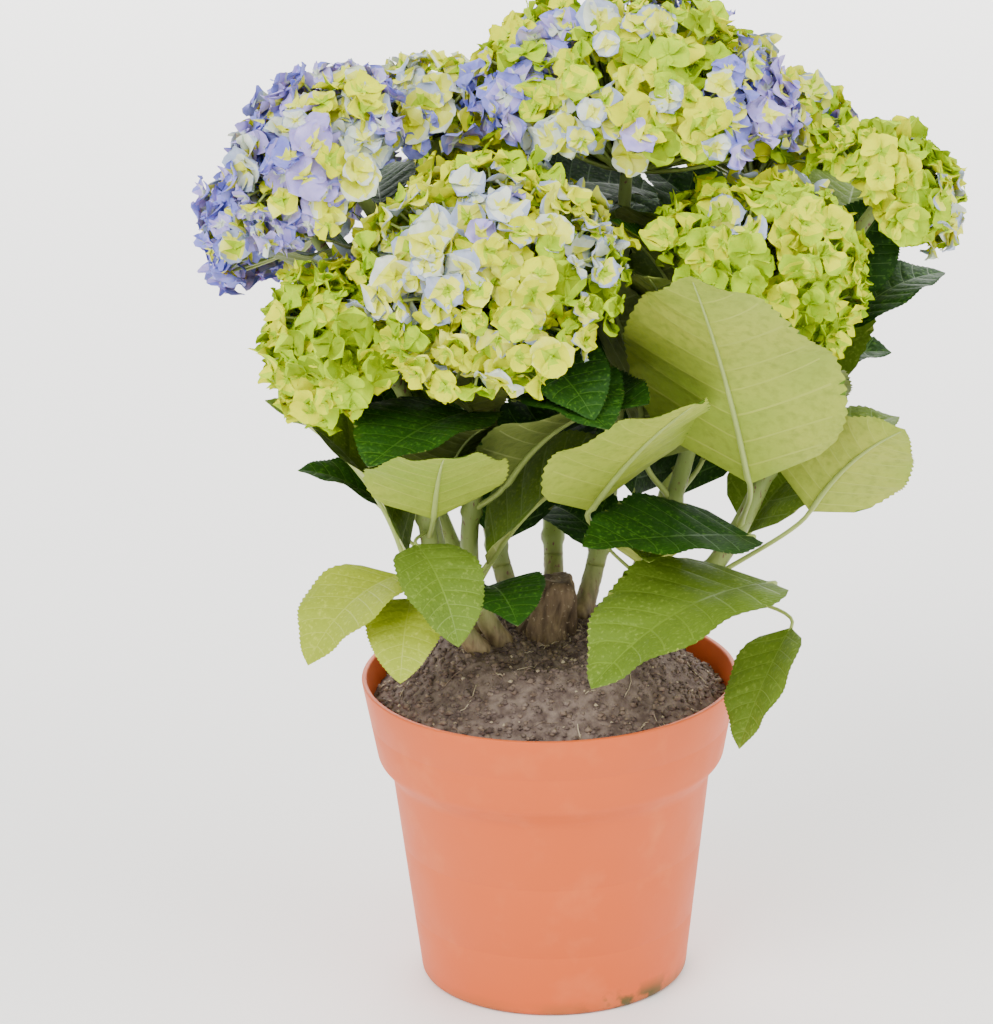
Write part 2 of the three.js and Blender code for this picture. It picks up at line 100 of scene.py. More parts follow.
# the last two terms are left out where the stem leaves the soil as plan says
shootTerms = ("name", "foot", "head", "radius", "tilt", "bearing", "seed", "rise", "spread")
shoots = [
    ("middle", (12, 18), (33, 8, 330), 60, 6, 20, 11),
    ("front", (-17, -8), (-20, -60, 290), 46, 34, 250, 23),
    ("front_right", (20, -2), (80, -34, 285), 38, 30, 285, 31),
    ("right", (32, -8), (127, 0, 299), 26, 42, 350, 47, 82, 1.25),
    ("left", (-27, 4), (-82, -18, 319), 35, 50, 215, 53),
    ("left_back", (-11, 17), (-41, 14, 326), 27, 12, 140, 61),
    ("low_left", (-25, -16), (-77, -50, 262), 29, 62, 200, 73, 60, 0.9),
    ("back_right", (26, 18), (86, 88, 290), 39, 36, 50, 83),
    ("back", (2, 27), (-8, 100, 292), 41, 36, 95, 97),
    ("back_left", (-23, 19), (-92, 64, 278), 38, 42, 165, 101),
]

up = np.array([0.0, 0.0, 1.0])
goldenAngle = math.pi * (3 - math.sqrt(5))


def diceFor(seed):
    state = seed

    def roll():
        nonlocal state
        state = (state * 1664525 + 1013904223) % 4294967296
        return state / 4294967296

    return roll


def between(least, greatest, roll):
    return least + (greatest - least) * roll()


def around(middle, span, roll):
    return middle + span * (2 * roll() - 1)


def lerp(a, b, t):
    return a + (b - a) * t


def unit(v):
    return v / np.linalg.norm(v)


def bearingVector(degrees):
    angle = math.radians(degrees)
    return np.array([math.cos(angle), math.sin(angle), 0.0])


def across(direction):
    side = np.cross(direction, up)
    if np.linalg.norm(side) < plan["weld"]:
        side = np.array([1.0, 0.0, 0.0])
    side = unit(side)
    return side, unit(np.cross(direction, side))


def newHeap():
    return {"points": [], "faces": [], "kinds": [], "count": 0}


def addTo(heap, points, faces, kinds):
    heap["points"].append(np.asarray(points))
    faces = np.asarray(faces) + heap["count"]
    heap["faces"].extend(faces.tolist())
    heap["kinds"].extend(np.broadcast_to(kinds, len(faces)).tolist())
    heap["count"] += len(points)


def makePiece(name, heap, looks, nodes):
    mesh = bpy.data.meshes.new(name)
    mesh.from_pydata((np.concatenate(heap["points"]) * mm).tolist(), [], heap["faces"])
    for look in looks:
        mesh.materials.append(look)
    mesh.polygons.foreach_set("material_index", heap["kinds"])
    mesh.polygons.foreach_set("use_smooth", [True] * len(mesh.polygons))
    mesh.update()
    piece = bpy.data.objects.new(name, mesh)
    bpy.context.scene.collection.objects.link(piece)
    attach(piece, "root")
    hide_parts(*nodes)
    triangles = sum(len(face) - 2 for face in heap["faces"])
    print(f"  {name}: {triangles} triangles")
    return piece


def gridFaces(rows, columns, wrap=False):
    # quads of a grid of points, row after row; wrap closes each row on itself
    steps = columns if wrap else columns - 1
    first = np.arange(rows - 1)[:, None] * columns + np.arange(steps)[None, :]
    turn = np.arange(rows - 1)[:, None] * columns + (np.arange(steps)[None, :] + 1) % columns
    return np.stack([first, turn, turn + columns, first + columns], axis=-1).reshape(-1, 4)


def addTube(heap, centres, radii, sides, kind, closeEnds=True, relief=None):
    centres = np.asarray(centres)
    radii = np.broadcast_to(radii, len(centres))
    directions = np.gradient(centres, axis=0)
    rings = []
    for row, (centre, radius, direction) in enumerate(zip(centres, radii, directions)):
        side, fore = across(unit(direction))
        angles = np.arange(sides) * 2 * math.pi / sides
        reach = radius if relief is None else radius * relief(angles, row / (len(centres) - 1))
        offsets = np.outer(reach * np.cos(angles), side) + np.outer(reach * np.sin(angles), fore)
        rings.append(centre + offsets)
    points = np.concatenate(rings)
    addTo(heap, points, gridFaces(len(centres), sides, wrap=True), kind)
    if closeEnds:
        last = len(points) - sides
        start = heap["count"] - len(points)
        heap["faces"].append([start + i for i in reversed(range(sides))])
        heap["faces"].append([start + last + i for i in range(sides)])
        heap["kinds"].extend([kind, kind])


def bezier(points, t):
    a, b, c, d = [np.asarray(p, dtype=float) for p in points]
    t = np.asarray(t)[..., None]
    return a * (1 - t) ** 3 + 3 * b * t * (1 - t) ** 2 + 3 * c * t * t * (1 - t) + d * t ** 3


def srgb(r, g, b):
    return tuple((c / 255 / 12.92) if c / 255 <= 0.04045 else ((c / 255 + 0.055) / 1.055) ** 2.4
                 for c in (r, g, b)) + (1.0,)


class Look:
    # a Principled material whose colour, roughness and height come from a few mixed textures

    def __init__(self, name, roughness, **sockets):
        self.material = bpy.data.materials.new(name)
        self.material.use_nodes = True
        self.tree = self.material.node_tree
        self.shader = self.tree.nodes["Principled BSDF"]
        self.fill(self.shader, {"Roughness": roughness})
        self.fill(self.shader, {socket.replace("_", " "): value for socket, value in sockets.items()})
        self.place = self.tree.nodes.new("ShaderNodeTexCoord").outputs["Object"]

    def fill(self, node, values):
        # a value is a number or a colour, or else the output of another node
        for socket, value in values.items():
            if isinstance(value, bpy.types.NodeSocket):
                self.tree.links.new(value, node.inputs[socket])
            else:
                node.inputs[socket].default_value = value

    def add(self, kind, output, values):
        node = self.tree.nodes.new(f"ShaderNode{kind}")
        if kind == "Mix":
            node.data_type = "RGBA"
        if kind == "Math":
            node.operation = "MULTIPLY"
        self.fill(node, values)
        return node.outputs[output]

    def noise(self, scale, detail=3, stretch=(1, 1, 1)):
        place = self.add("Mapping", "Vector", {"Vector": self.place, "Scale": stretch})
        return self.add("TexNoise", "Fac", {"Vector": place, "Scale": scale, "Detail": detail})

    def cells(self, scale):
        return self.add("TexVoronoi", "Distance", {"Vector": self.place, "Scale": scale})

    def between(self, value, low, high):
        # stretches a value so that low becomes 0 and high becomes 1
        return self.add("MapRange", "Result", {"Value": value, "From Min": low, "From Max": high})

    def times(self, a, b):
        return self.add("Math", "Value", {0: a, 1: b})

    def heightAlong(self, axis, low, high):
        # 0 at low and 1 at high along an axis of the part, in metres
        return self.between(self.add("SeparateXYZ", axis, {"Vector": self.place}), low, high)

    def mix(self, factor, first, second):
        # the colour sockets of a mix are its seventh and eighth, and its colour output the third
        return self.add("Mix", 2, {"Factor": factor, 6: first, 7: second})

    def colour(self, value):
        self.fill(self.shader, {"Base Color": value})

    def rough(self, factor, low, high):
        scaled = self.add("MapRange", "Result", {"Value": factor, "To Min": low, "To Max": high})
        self.fill(self.shader, {"Roughness": scaled})

    def bump(self, value, distance, strength=1):
        values = {"Height": value, "Distance": distance, "Strength": strength}
        self.fill(self.shader, {"Normal": self.add("Bump", "Normal", values)})


plastic = {
    "clean": (srgb(213, 96, 38), srgb(203, 87, 32)),
    "worn": srgb(216, 112, 60),
    "scuffed": srgb(160, 92, 44), "scuffHeight": (0.006, 0.001),
    "stain": srgb(84, 74, 34),
    "stainHeight": (0.009, 0.003), "stainForward": (-0.018, -0.034), "stainRight": (0.006, 0.02),
    "roughness": (0.42, 0.58),
}


def makeTerracottaPlastic():
    look = Look("terracottaPlastic", 0.5, Specular_IOR_Level=0.28)
    clean = look.mix(look.noise(11), *plastic["clean"])
    worn = look.mix(look.between(look.noise(60, 5), 0.55, 0.95), clean, plastic["worn"])
    front = look.heightAlong("Y", *plastic["stainForward"])
    right = look.heightAlong("X", *plastic["stainRight"])
    scuffs = look.between(look.noise(34), 0.3, 0.6)
    low = look.times(look.heightAlong("Z", *plastic["scuffHeight"]), scuffs)
    scuffed = look.mix(low, worn, plastic["scuffed"])
    foot = look.times(look.heightAlong("Z", *plastic["stainHeight"]), look.times(front, right))
    soiled = look.times(foot, look.between(look.noise(90, 5), 0.47, 0.54))
    look.colour(look.mix(soiled, scuffed, plastic["stain"]))
    look.rough(look.noise(90), *plastic["roughness"])
    look.bump(look.noise(420), 0.0001, 0.4)
    return look.material


def makePeat(name, dark, light):
    look = Look(name, 0.92, Specular_IOR_Level=0.2)
    look.colour(look.mix(look.between(look.noise(260, 5), 0.35, 0.7), dark, light))
    look.bump(look.noise(900, 4), 0.0006, 0.8)
    return look.material


bark = {
    "furrow": srgb(62, 48, 36), "ridge": srgb(134, 114, 88), "fleck": srgb(160, 142, 114),
    "depth": 0.0016,
}


def makeBark():
    look = Look("oldBark", 0.85, Specular_IOR_Level=0.25)
    furrow = look.between(look.noise(260, 5, (1, 1, 0.22)), 0.3, 0.7)
    base = look.mix(furrow, bark["furrow"], bark["ridge"])
    look.colour(look.mix(look.between(look.noise(620), 0.62, 0.72), base, bark["fleck"]))
    look.bump(look.noise(420, 5, (1, 1, 0.2)), bark["depth"])
    return look.material


stemSkin = {
    "green": (srgb(118, 138, 66), srgb(146, 160, 88)),
    "fleck": srgb(110, 74, 58),
    "woody": (srgb(104, 86, 62), srgb(152, 134, 98)),
    "woodyHeight": (0.152, 0.134),  # green above the first, woody below the second
}


def makeGreenStem():
    look = Look("greenStem", 0.5, Specular_IOR_Level=0.4)
    green = look.mix(look.noise(40), *stemSkin["green"])
    fleck = look.between(look.noise(700, 2, (1, 1, 0.35)), 0.62, 0.68)
    flecked = look.mix(fleck, green, stemSkin["fleck"])
    grain = look.between(look.noise(420, 4, (1, 1, 0.25)), 0.35, 0.65)
    woody = look.mix(grain, *stemSkin["woody"])
    look.colour(look.mix(look.heightAlong("Z", *stemSkin["woodyHeight"]), flecked, woody))
    look.bump(look.noise(500, 3, (1, 1, 0.2)), 0.0005, 0.7)
    return look.material


def makeLeafUpper(name, dark, light, fleck):
    look = Look(name, 0.58, Specular_IOR_Level=0.18)
    base = look.mix(look.noise(42), dark, light)
    look.colour(look.mix(look.between(look.noise(700, 2), 0.55, 0.72), base, fleck))
    look.rough(look.noise(300), 0.48, 0.68)
    look.bump(look.cells(620), 0.0003, 0.6)
    return look.material


def makeLeafUnder(name, dark, light, fleck):
    look = Look(name, 0.62, Specular_IOR_Level=0.3)
    base = look.mix(look.between(look.noise(20), 0.3, 0.7), dark, light)
    look.colour(look.mix(look.between(look.noise(320, 3), 0.45, 0.8), base, fleck))
    look.bump(look.cells(560), 0.0003, 0.5)
    return look.material


def makeVein(name, dark, light, roughness):
    look = Look(name, roughness, Specular_IOR_Level=0.35)
    look.colour(look.mix(look.noise(90), dark, light))
    look.bump(look.noise(700), 0.0001, 0.4)
    return look.material


# what each sort of leaf looks like above, below, and on the veins of both sides
leafTints = {
    "dark": {
        "upper": ((14, 46, 2), (34, 74, 8), (62, 102, 26)),
        "under": ((104, 118, 48), (126, 138, 66), (94, 106, 46)),
        "upperVein": ((44, 82, 14), (60, 98, 24)),
        "underVein": ((130, 142, 76), (146, 156, 90)),
    },
    "mid": {
        "upper": ((80, 106, 24), (106, 130, 40), (122, 144, 56)),
        "under": ((146, 160, 66), (164, 174, 82), (130, 144, 58)),
        "upperVein": ((100, 126, 36), (116, 140, 48)),
        "underVein": ((166, 174, 88), (178, 184, 102)),
    },
    "pale": {
        "upper": ((66, 100, 18), (94, 124, 34), (122, 148, 60)),
        "under": ((132, 156, 44), (164, 173, 62), (128, 146, 44)),
        "upperVein": ((88, 120, 30), (106, 136, 44)),
        "underVein": ((152, 166, 56), (167, 177, 72)),
    },
    "fresh": {
        "upper": ((134, 150, 30), (158, 170, 46), (168, 178, 60)),
        "under": ((160, 170, 62), (178, 184, 80), (146, 156, 56)),
        "upperVein": ((152, 165, 44), (166, 176, 58)),
        "underVein": ((178, 184, 88), (190, 194, 102)),
    },
}


def makeLeafLooks():
    made = []
    for tint, colours in leafTints.items():
        parts = {part: [srgb(*colour) for colour in shades] for part, shades in colours.items()}
        made.append(makeLeafUpper(f"{tint}LeafUpper", *parts["upper"]))
        made.append(makeLeafUnder(f"{tint}LeafUnder", *parts["under"]))
        made.append(makeVein(f"{tint}LeafUpperVein", *parts["upperVein"], 0.42))
        made.append(makeVein(f"{tint}LeafUnderVein", *parts["underVein"], 0.58))
    return made


def makeSepal(name, shade, tint):
    look = Look(name, 0.75, Specular_IOR_Level=0.1, Subsurface_Weight=0.12, Subsurface_Scale=0.003)
    look.colour(look.mix(look.between(look.noise(210, 3), 0.35, 0.65), shade, tint))
    look.bump(look.noise(900, 3, (1, 0.3, 1)), 0.00025, 0.5)
    return look.material


looks = {
    "plastic": makeTerracottaPlastic(),
    "peat": makePeat("moistPeat", srgb(84, 70, 64), srgb(132, 116, 106)),
    "crumb": makePeat("peatCrumb", srgb(104, 86, 74), srgb(150, 132, 116)),
    "chip": makePeat("paleChip", srgb(164, 148, 122), srgb(200, 186, 160)),
    "bark": makeBark(),
    "stem": makeGreenStem(),
    "stalk": makeVein("leafStalk", srgb(140, 158, 76), srgb(166, 180, 100), 0.48),
}
print("materials made")


def potRadius(z):
    if z >= plan["collarFoot"]:
        share = (z - plan["collarFoot"]) / (plan["potHeight"] - plan["collarFoot"])
        return lerp(plan["collarRadius"], plan["rimRadius"], share)
    if z >= plan["bodyTop"]:
        share = (z - plan["bodyTop"]) / (plan["collarFoot"] - plan["bodyTop"])
        return lerp(plan["bodyRadius"], plan["collarRadius"], share)
    return lerp(plan["baseRadius"], plan["bodyRadius"], z / plan["bodyTop"])


pot = {
    "sides": 160,
    "rimRound": 0.9,
    "collarRound": 1.6,
    "stepRound": 2.0,
    "footRound": 2.6,
    "innerRound": 1,
    "arcSteps": 5,
    "sharpFrom": 42,  # edges steeper than this many degrees stay crisp
    "holes": 6, "holeRadius": 4, "holeRing": 33, "holeSides": 24,
    "mouldLines": [(24, 0.1), (52, 0.08), (99, 0.1)],  # height and depth of faint rings on the wall
    "lineShape": [(-0.7, 0), (-0.3, 1), (0.3, 1), (0.7, 0)],
}


def roundedProfile(corners):
    # corners are (radius, height, rounding); each rounding becomes a short arc
    points = []
    for i, (r, z, rounding) in enumerate(corners):
        here = np.array([r, z])
        if rounding == 0:
            points.append(here)
            continue
        before = unit(np.array(corners[i - 1][:2]) - here)
        after = unit(np.array(corners[i + 1][:2]) - here)
        start, end = here + before * rounding, here + after * rounding
        for step in range(pot["arcSteps"] + 1):
            t = step / pot["arcSteps"]
            points.append(start * (1 - t) ** 2 + 2 * here * t * (1 - t) + end * t * t)
    return points


def addLathe(heap, profile, sides, kind):
    # profile runs from the axis to the axis
    rings = np.array(profile[1:-1])
    angles = np.arange(sides) * 2 * math.pi / sides
    points = np.stack([
        rings[:, 0][:, None] * np.cos(angles), rings[:, 0][:, None] * np.sin(angles),
        np.broadcast_to(rings[:, 1][:, None], (len(rings), sides)),
    ], axis=-1).reshape(-1, 3)
    addTo(heap, points, gridFaces(len(rings), sides, wrap=True), kind)
    start = heap["count"] - len(points)
    for height, ring, order in ((profile[0][1], 0, -1), (profile[-1][1], len(rings) - 1, 1)):
        heap["points"].append(np.array([[0, 0, height]]))
        middle = heap["count"]
        heap["count"] += 1
        for i in range(sides):
            edge = [start + ring * sides + i, start + ring * sides + (i + 1) % sides]
            heap["faces"].append([middle] + edge[::order])
            heap["kinds"].append(kind)


def cutHoles(piece):
    for i in range(pot["holes"]):
        spot = bearingVector(360 * (i + 0.5) / pot["holes"]) * pot["holeRing"] * mm
        drill = bmesh.new()
        bmesh.ops.create_cone(drill, cap_ends=True, segments=pot["holeSides"],
                              radius1=pot["holeRadius"] * mm,
                              radius2=pot["holeRadius"] * mm, depth=4 * plan["floor"] * mm,
                              matrix=Matrix.Translation(spot))
        mesh = bpy.data.meshes.new("drill")
        drill.to_mesh(mesh)
        drill.free()
        tool = bpy.data.objects.new("drill", mesh)
        bpy.context.scene.collection.objects.link(tool)
        cut = piece.modifiers.new("hole", "BOOLEAN")
        cut.object = tool
        cut.solver = "EXACT"
        bpy.context.view_layer.objects.active = piece
        bpy.ops.object.modifier_apply(modifier=cut.name)
        bpy.data.objects.remove(tool)
        bpy.data.meshes.remove(mesh)


def makePot():
    wall = plan["wall"]
    rim, collar, body = plan["rimRadius"], plan["collarRadius"], plan["bodyRadius"]
    outside = [(potRadius(0), 0, pot["footRound"])]
    lines = [(potRadius(z + step), z + step, 0, -depth * shape)
             for z, depth in pot["mouldLines"] for step, shape in pot["lineShape"]]
    walls = [(body, plan["bodyTop"], pot["stepRound"], 0),
             (collar, plan["collarFoot"], pot["collarRound"], 0)] + lines
    outside += [(r + extra, z, rounding) for r, z, rounding, extra in sorted(walls, key=lambda p: p[1])]
    outside += [(r, plan["potHeight"], pot["rimRound"]) for r in (rim, rim - wall)]
    inside = [(r - wall, z, pot["innerRound"]) for r, z in (
        (collar, plan["collarFoot"]), (body, plan["bodyTop"]), (potRadius(plan["floor"]), plan["floor"]))]
    profile = roundedProfile([(0, 0, 0)] + outside + inside + [(0, plan["floor"], 0)])
    heap = newHeap()
    addLathe(heap, profile, pot["sides"], 0)
    piece = makePiece("pot_moulding", heap, [looks["plastic"]], ["pot"])
    cutHoles(piece)
    piece.data.set_sharp_from_angle(angle=math.radians(pot["sharpFrom"]))


soil = {
    "seed": 5,
    "rings": 64, "sides": 180, "pin": 0.0003, "middle": 0.5,
    "sunk": 0.6,
    "lump": 1.32, "lumpSize": 9,
    "calm": 0.35, "calmFrom": 8, "calmOver": 20,  # flatter where the stems stand
    "grit": 0.7, "gritSize": 1.7,
    "bank": 2.0, "bankReach": 6.5,  # how high and how far the peat is heaped round each stem
    "margin": 1.5,
    "crumbs": 3400, "crumbSize": (0.6, 2.2), "crumbLeast": 0.55, "crumbSunk": 0.25, "lightCrumbs": 0.3,
    "chips": 160, "chipSize": (0.6, 1.4),
    "grainCorners": (0.55, 1.2), "grainFlat": 0.7,
    "fibres": 90, "fibreLength": (3, 9), "fibreRadius": 0.22, "fibreWidth": (0.6, 1.5),
    "fibreReach": 0.93, "fibrePoints": 6, "fibreLeast": 4, "fibreTurn": 25, "fibreLift": (0.2, 1.1),
    "lightFibres": 0.6,
}


def soilRadius(z):
    # how far the plug reaches at a height
    return potRadius(z) - plan["wall"] - plan["gap"]


def soilLevel(r):
    # height of the plug's surface at a distance from the axis
    edge = soilRadius(plan["soilEdge"])
    shoulder = (plan["crownRadius"] + potRadius(plan["soilEdge"])) / 2
    crown = plan["soilCrown"]
    return float(np.interp(r, [0, plan["crownRadius"], shoulder, edge],
                           [crown, crown, plan["soilShoulder"], plan["soilEdge"]]))


def soilSurface(x, y):
    r = math.hypot(x, y)
    spot = Vector((x, y, 0))
    calm = min(1, max(0, (r - soil["calmFrom"]) / soil["calmOver"]))
    lumps = soil["lump"] * noise.noise(spot / soil["lumpSize"]) * lerp(soil["calm"], 1, calm)
    level = soilLevel(r) - soil["sunk"] + lumps + soil["grit"] * noise.noise(spot / soil["gritSize"])
    nearest = min(math.dist((x, y), shoot["foot"]) for shoot in shoots)
    return level + soil["bank"] * math.exp(-(nearest / soil["bankReach"]) ** 2)


def makeSoil():
    heap = newHeap()
    radii = soilRadius(plan["soilEdge"]) * np.sqrt(np.linspace(soil["pin"], 1, soil["rings"]))
    angles = np.arange(soil["sides"]) * 2 * math.pi / soil["sides"]
    rows = [[(r * math.cos(a), r * math.sin(a), soilSurface(r * math.cos(a), r * math.sin(a)))
             for a in angles] for r in radii]
    base = plan["floor"] + plan["gap"]
    below = [(soilRadius(z), z) for z in (plan["collarFoot"], plan["bodyTop"], base)]
    for r, z in below + [(soil["middle"], base)]:
        rows.append([(r * math.cos(a), r * math.sin(a), z) for a in angles])
    points = np.array(rows).reshape(-1, 3)
    addTo(heap, points, gridFaces(len(rows), soil["sides"], wrap=True)[:, ::-1], 0)
    makePiece("peat_plug", heap, [looks["peat"]], ["soil"])


def addGrain(heap, centre, size, roll, kind):
    # a small broken octahedron
    corners = np.array([(1, 0, 0), (0, 1, 0), (-1, 0, 0), (0, -1, 0), (0, 0, 1), (0, 0, -1)], dtype=float)
    corners *= np.array([[between(*soil["grainCorners"], roll)] for _ in range(6)])
    turn = Matrix.Rotation(roll() * math.pi, 3, "Z") @ Matrix.Rotation(roll() * math.pi, 3, "X")
    corners = corners @ np.array(turn) * size * np.array([1, 1, soil["grainFlat"]])
    faces = [(0, 1, 4), (1, 2, 4), (2, 3, 4), (3, 0, 4), (1, 0, 5), (2, 1, 5), (3, 2, 5), (0, 3, 5)]
    addTo(heap, corners + centre, faces, kind)


def makeCrumbs():
    roll = diceFor(soil["seed"])
    heap = newHeap()
    edge = soilRadius(plan["soilEdge"]) - soil["margin"]
    for i in range(soil["crumbs"] + soil["chips"]):
        r = edge * math.sqrt(roll())
        a = roll() * 2 * math.pi
        x, y = r * math.cos(a), r * math.sin(a)
        pale = i >= soil["crumbs"]
        size = between(*soil["chipSize" if pale else "crumbSize"], roll)
        size *= lerp(soil["crumbLeast"], 1, roll())
        kind = 1 if pale else (2 if roll() < soil["lightCrumbs"] else 0)
        place = np.array([x, y, soilSurface(x, y) + size * soil["crumbSunk"]])
        addGrain(heap, place, size, roll, kind)
    for i in range(soil["fibres"]):
        r = edge * math.sqrt(roll()) * soil["fibreReach"]
        a = roll() * 2 * math.pi
        heading = roll() * 360
        step = between(*soil["fibreLength"], roll) / (soil["fibrePoints"] - 1)
        x, y = r * math.cos(a), r * math.sin(a)
        line = []
        for _ in range(soil["fibrePoints"]):
            heading += around(0, soil["fibreTurn"], roll)
            x, y = np.array([x, y]) + bearingVector(heading)[:2] * step
            if math.hypot(x, y) > edge:
                break
            line.append(np.array([x, y, soilSurface(x, y) + between(*soil["fibreLift"], roll)]))
        if len(line) >= soil["fibreLeast"]:
            radius = soil["fibreRadius"] * between(*soil["fibreWidth"], roll)
            addTube(heap, line, radius, 4, 2 if roll() < soil["lightFibres"] else 1)
    makePiece("peat_crumbs", heap, [looks["peat"], looks["chip"], looks["crumb"]], ["soil"])


def layOut(shoot):
    centre = np.array(shoot["head"], dtype=float)
    outward = unit(centre * np.array([1, 1, 0]))
    tilt = math.radians(shoot["tilt"])
    axis = up * math.cos(tilt) + outward * math.sin(tilt)
    middle = centre - axis * shoot["radius"] * (plan["domeCrown"] - plan["domeUnder"]) / 2
    foot = np.array([*shoot["foot"], plan["soilCrown"] + plan["gap"]], dtype=float)
    rise, spread = shoot.get("rise", plan["rise"]), shoot.get("spread", plan["spread"])
    first = unit(unit(foot * np.array([1, 1, 0])) * spread + up)
    curve = [
        foot,
        foot + first * rise,
        middle - axis * (plan["neck"] + plan["domeUnder"] * shoot["radius"]),
        middle - axis * plan["domeSunk"] * shoot["radius"],
    ]
    return {**shoot, "middle": middle, "axis": axis, "curve": curve}


shoots = [layOut(dict(zip(shootTerms, row))) for row in shoots]

stump = {
    "x": -1, "y": 2, "radius": 8, "flare": 1.4, "height": 21, "sunk": 0.8, "lean": 4,
    "shoulder": 0.8, "cut": 0.72, "sides": 72, "rings": 40,
    "ridges": 3, "ridge": 0.15, "ridgeTwist": 5,
    "crack": 0.2, "crackPlace": (4, 2), "fine": 0.12, "finePlace": (11, 4), "slim": 0.97,
    "top": [(0.8, 0.1), (0.5, 0.5), (0.15, 0.9)],  # size and depth of the rings of the sunken cut
}


def roundNoise(angle, share, spread, rise, start=0):
    # noise that closes on itself round a stem
    return noise.noise(Vector((math.cos(angle) * spread, math.sin(angle) * spread, share * rise + start)))


def makeWoodyBase():
    heap = newHeap()
    foot = plan["soilCrown"] - stump["sunk"]
    rows = []
    for share in np.linspace(0, 1, stump["rings"]):
        flare = 1 + (stump["flare"] - 1) * (1 - share) ** 3
        rounded = max(0, (share - stump["shoulder"]) / (1 - stump["shoulder"])) ** 2
        row = []
        for i in range(stump["sides"]):
            angle = 2 * math.pi * i / stump["sides"]
            relief = 1 + stump["ridge"] * math.sin(stump["ridges"] * angle + stump["ridgeTwist"] * share)
            relief += stump["crack"] * roundNoise(angle, share, *stump["crackPlace"])
            relief += stump["fine"] * roundNoise(angle, share, *stump["finePlace"])
            radius = stump["radius"] * flare * (1 - (1 - stump["cut"]) * rounded) * relief * stump["slim"]
            row.append((stump["x"] + stump["lean"] * share + radius * math.cos(angle),
                        stump["y"] + radius * math.sin(angle),
                        foot + (stump["height"] + stump["sunk"]) * share))
        rows.append(row)
    top = np.array(rows[-1])
    centre = top.mean(axis=0)
    for scale, drop in stump["top"]:
        rows.append((centre + (top - centre) * scale - up * drop).tolist())
    addTo(heap, np.array(rows).reshape(-1, 3), gridFaces(len(rows), stump["sides"], wrap=True), 0)
    start = heap["count"] - stump["sides"]
    heap["faces"].append([start + i for i in range(stump["sides"])])
    heap["kinds"].append(0)
    makePiece("woody_base_bark", heap, [looks["bark"]], ["woody_base"])


stem = {
    "sides": 14, "bareRings": 18, "greenRings": 60, "flowerRings": 10,
    "joint": 0.35, "jointLength": 0.012,
    "sunk": 1.5, "flare": 0.25, "flareReach": 0.02, "bark": 0.08, "barkPlace": (2, 9),
}


def stemRadius(t):
    return lerp(plan["stemFoot"], plan["stemTip"], t)


def jointSwelling(shoot, t):
    # stems are a little thicker where a pair of leaves leaves them
    joints = [lerp(plan["leafy"], plan["flowering"], pair["at"]) for pair in pairs]
    return sum(math.exp(-((t - at) / stem["jointLength"]) ** 2) for at in joints) * stem["joint"]


def addStem(heap, shoot, start, end, rings, kind):
    shares = np.linspace(start, end, rings)
    centres = bezier(shoot["curve"], shares)
    radii = [stemRadius(t) * (1 + jointSwelling(shoot, t)) for t in shares]
    addTube(heap, centres, radii, stem["sides"], kind)


def makeBareStems():
    heap = newHeap()
    for shoot in shoots:
        shares = np.linspace(0, plan["leafy"], stem["bareRings"])
        centres = bezier(shoot["curve"], shares)
        centres[0] -= up * stem["sunk"]
        radii = [stemRadius(t) * (1 + stem["flare"] * math.exp(-t / stem["flareReach"])) for t in shares]
        seed = shoot["seed"]

        def relief(angles, share):
            place = (share, *stem["barkPlace"], seed)
            return np.array([1 + stem["bark"] * roundNoise(angle, *place) for angle in angles])

        addTube(heap, centres, radii, stem["sides"], 0, relief=relief)
    makePiece("bare_stems", heap, [looks["stem"]], [f"stem_{s['name']}" for s in shoots])


def bladeShape(s, fullness=1):
    # half the width along a blade, as a share of the greatest
    s = np.clip(s, 0, 1)
    return (s / plan["widest"]) ** plan["roundness"] * ((1 - s) / (1 - plan["widest"])) ** fullness


def layLeaf(root, wish):
    lift = math.radians(wish["lift"])
    stalkLift = math.radians(plan["stalkLift"] + wish["lift"] / 2)
    stalkOut = bearingVector(wish["bearing"] + wish["lead"])
    foot = root + wish["stalk"] * (stalkOut * math.cos(stalkLift) + up * math.sin(stalkLift))
    length = plan["leafLength"] * wish["size"]
    return {
        "root": root, "foot": foot, "stalkOut": stalkOut, "stalkLift": stalkLift, "lift": lift,
        "length": length, "width": length * plan["widthShare"], "out": bearingVector(wish["bearing"]),
        "bend": math.radians(wish["bend"]), "roll": math.radians(wish["roll"]),
        "fold": math.radians(wish["fold"]),
    }


def bladeTurn(blade, angle):
    # the way across the blade, and the way it faces, where it slopes by this angle
    normal = up * np.cos(angle)[..., None] - blade["out"] * np.sin(angle)[..., None]
    side = np.cross(blade["out"], up)
    tilted = side * math.cos(blade["roll"]) + normal * math.sin(blade["roll"])
    return tilted, normal * math.cos(blade["roll"]) - side * math.sin(blade["roll"])


def bladePoints(blade, s, w, h, bank=None):
    # s from foot to tip, w from the midrib, h over the blade; bank is the rise of its sides
    s, w, h = np.broadcast_arrays(np.asarray(s, float), np.asarray(w, float), np.asarray(h, float))
    angle = blade["lift"] - blade["bend"] * s
    along = blade["length"] * (math.sin(blade["lift"]) - np.sin(angle)) / blade["bend"]
    rise = blade["length"] * (np.cos(angle) - math.cos(blade["lift"])) / blade["bend"]
    tilted, facing = bladeTurn(blade, angle)
    bank = np.abs(w) * math.sin(blade["fold"]) if bank is None else bank
    return (blade["foot"] + blade["out"] * along[..., None] + up * rise[..., None]
            + tilted * (w * math.cos(blade["fold"]))[..., None] + facing * (bank + h)[..., None])


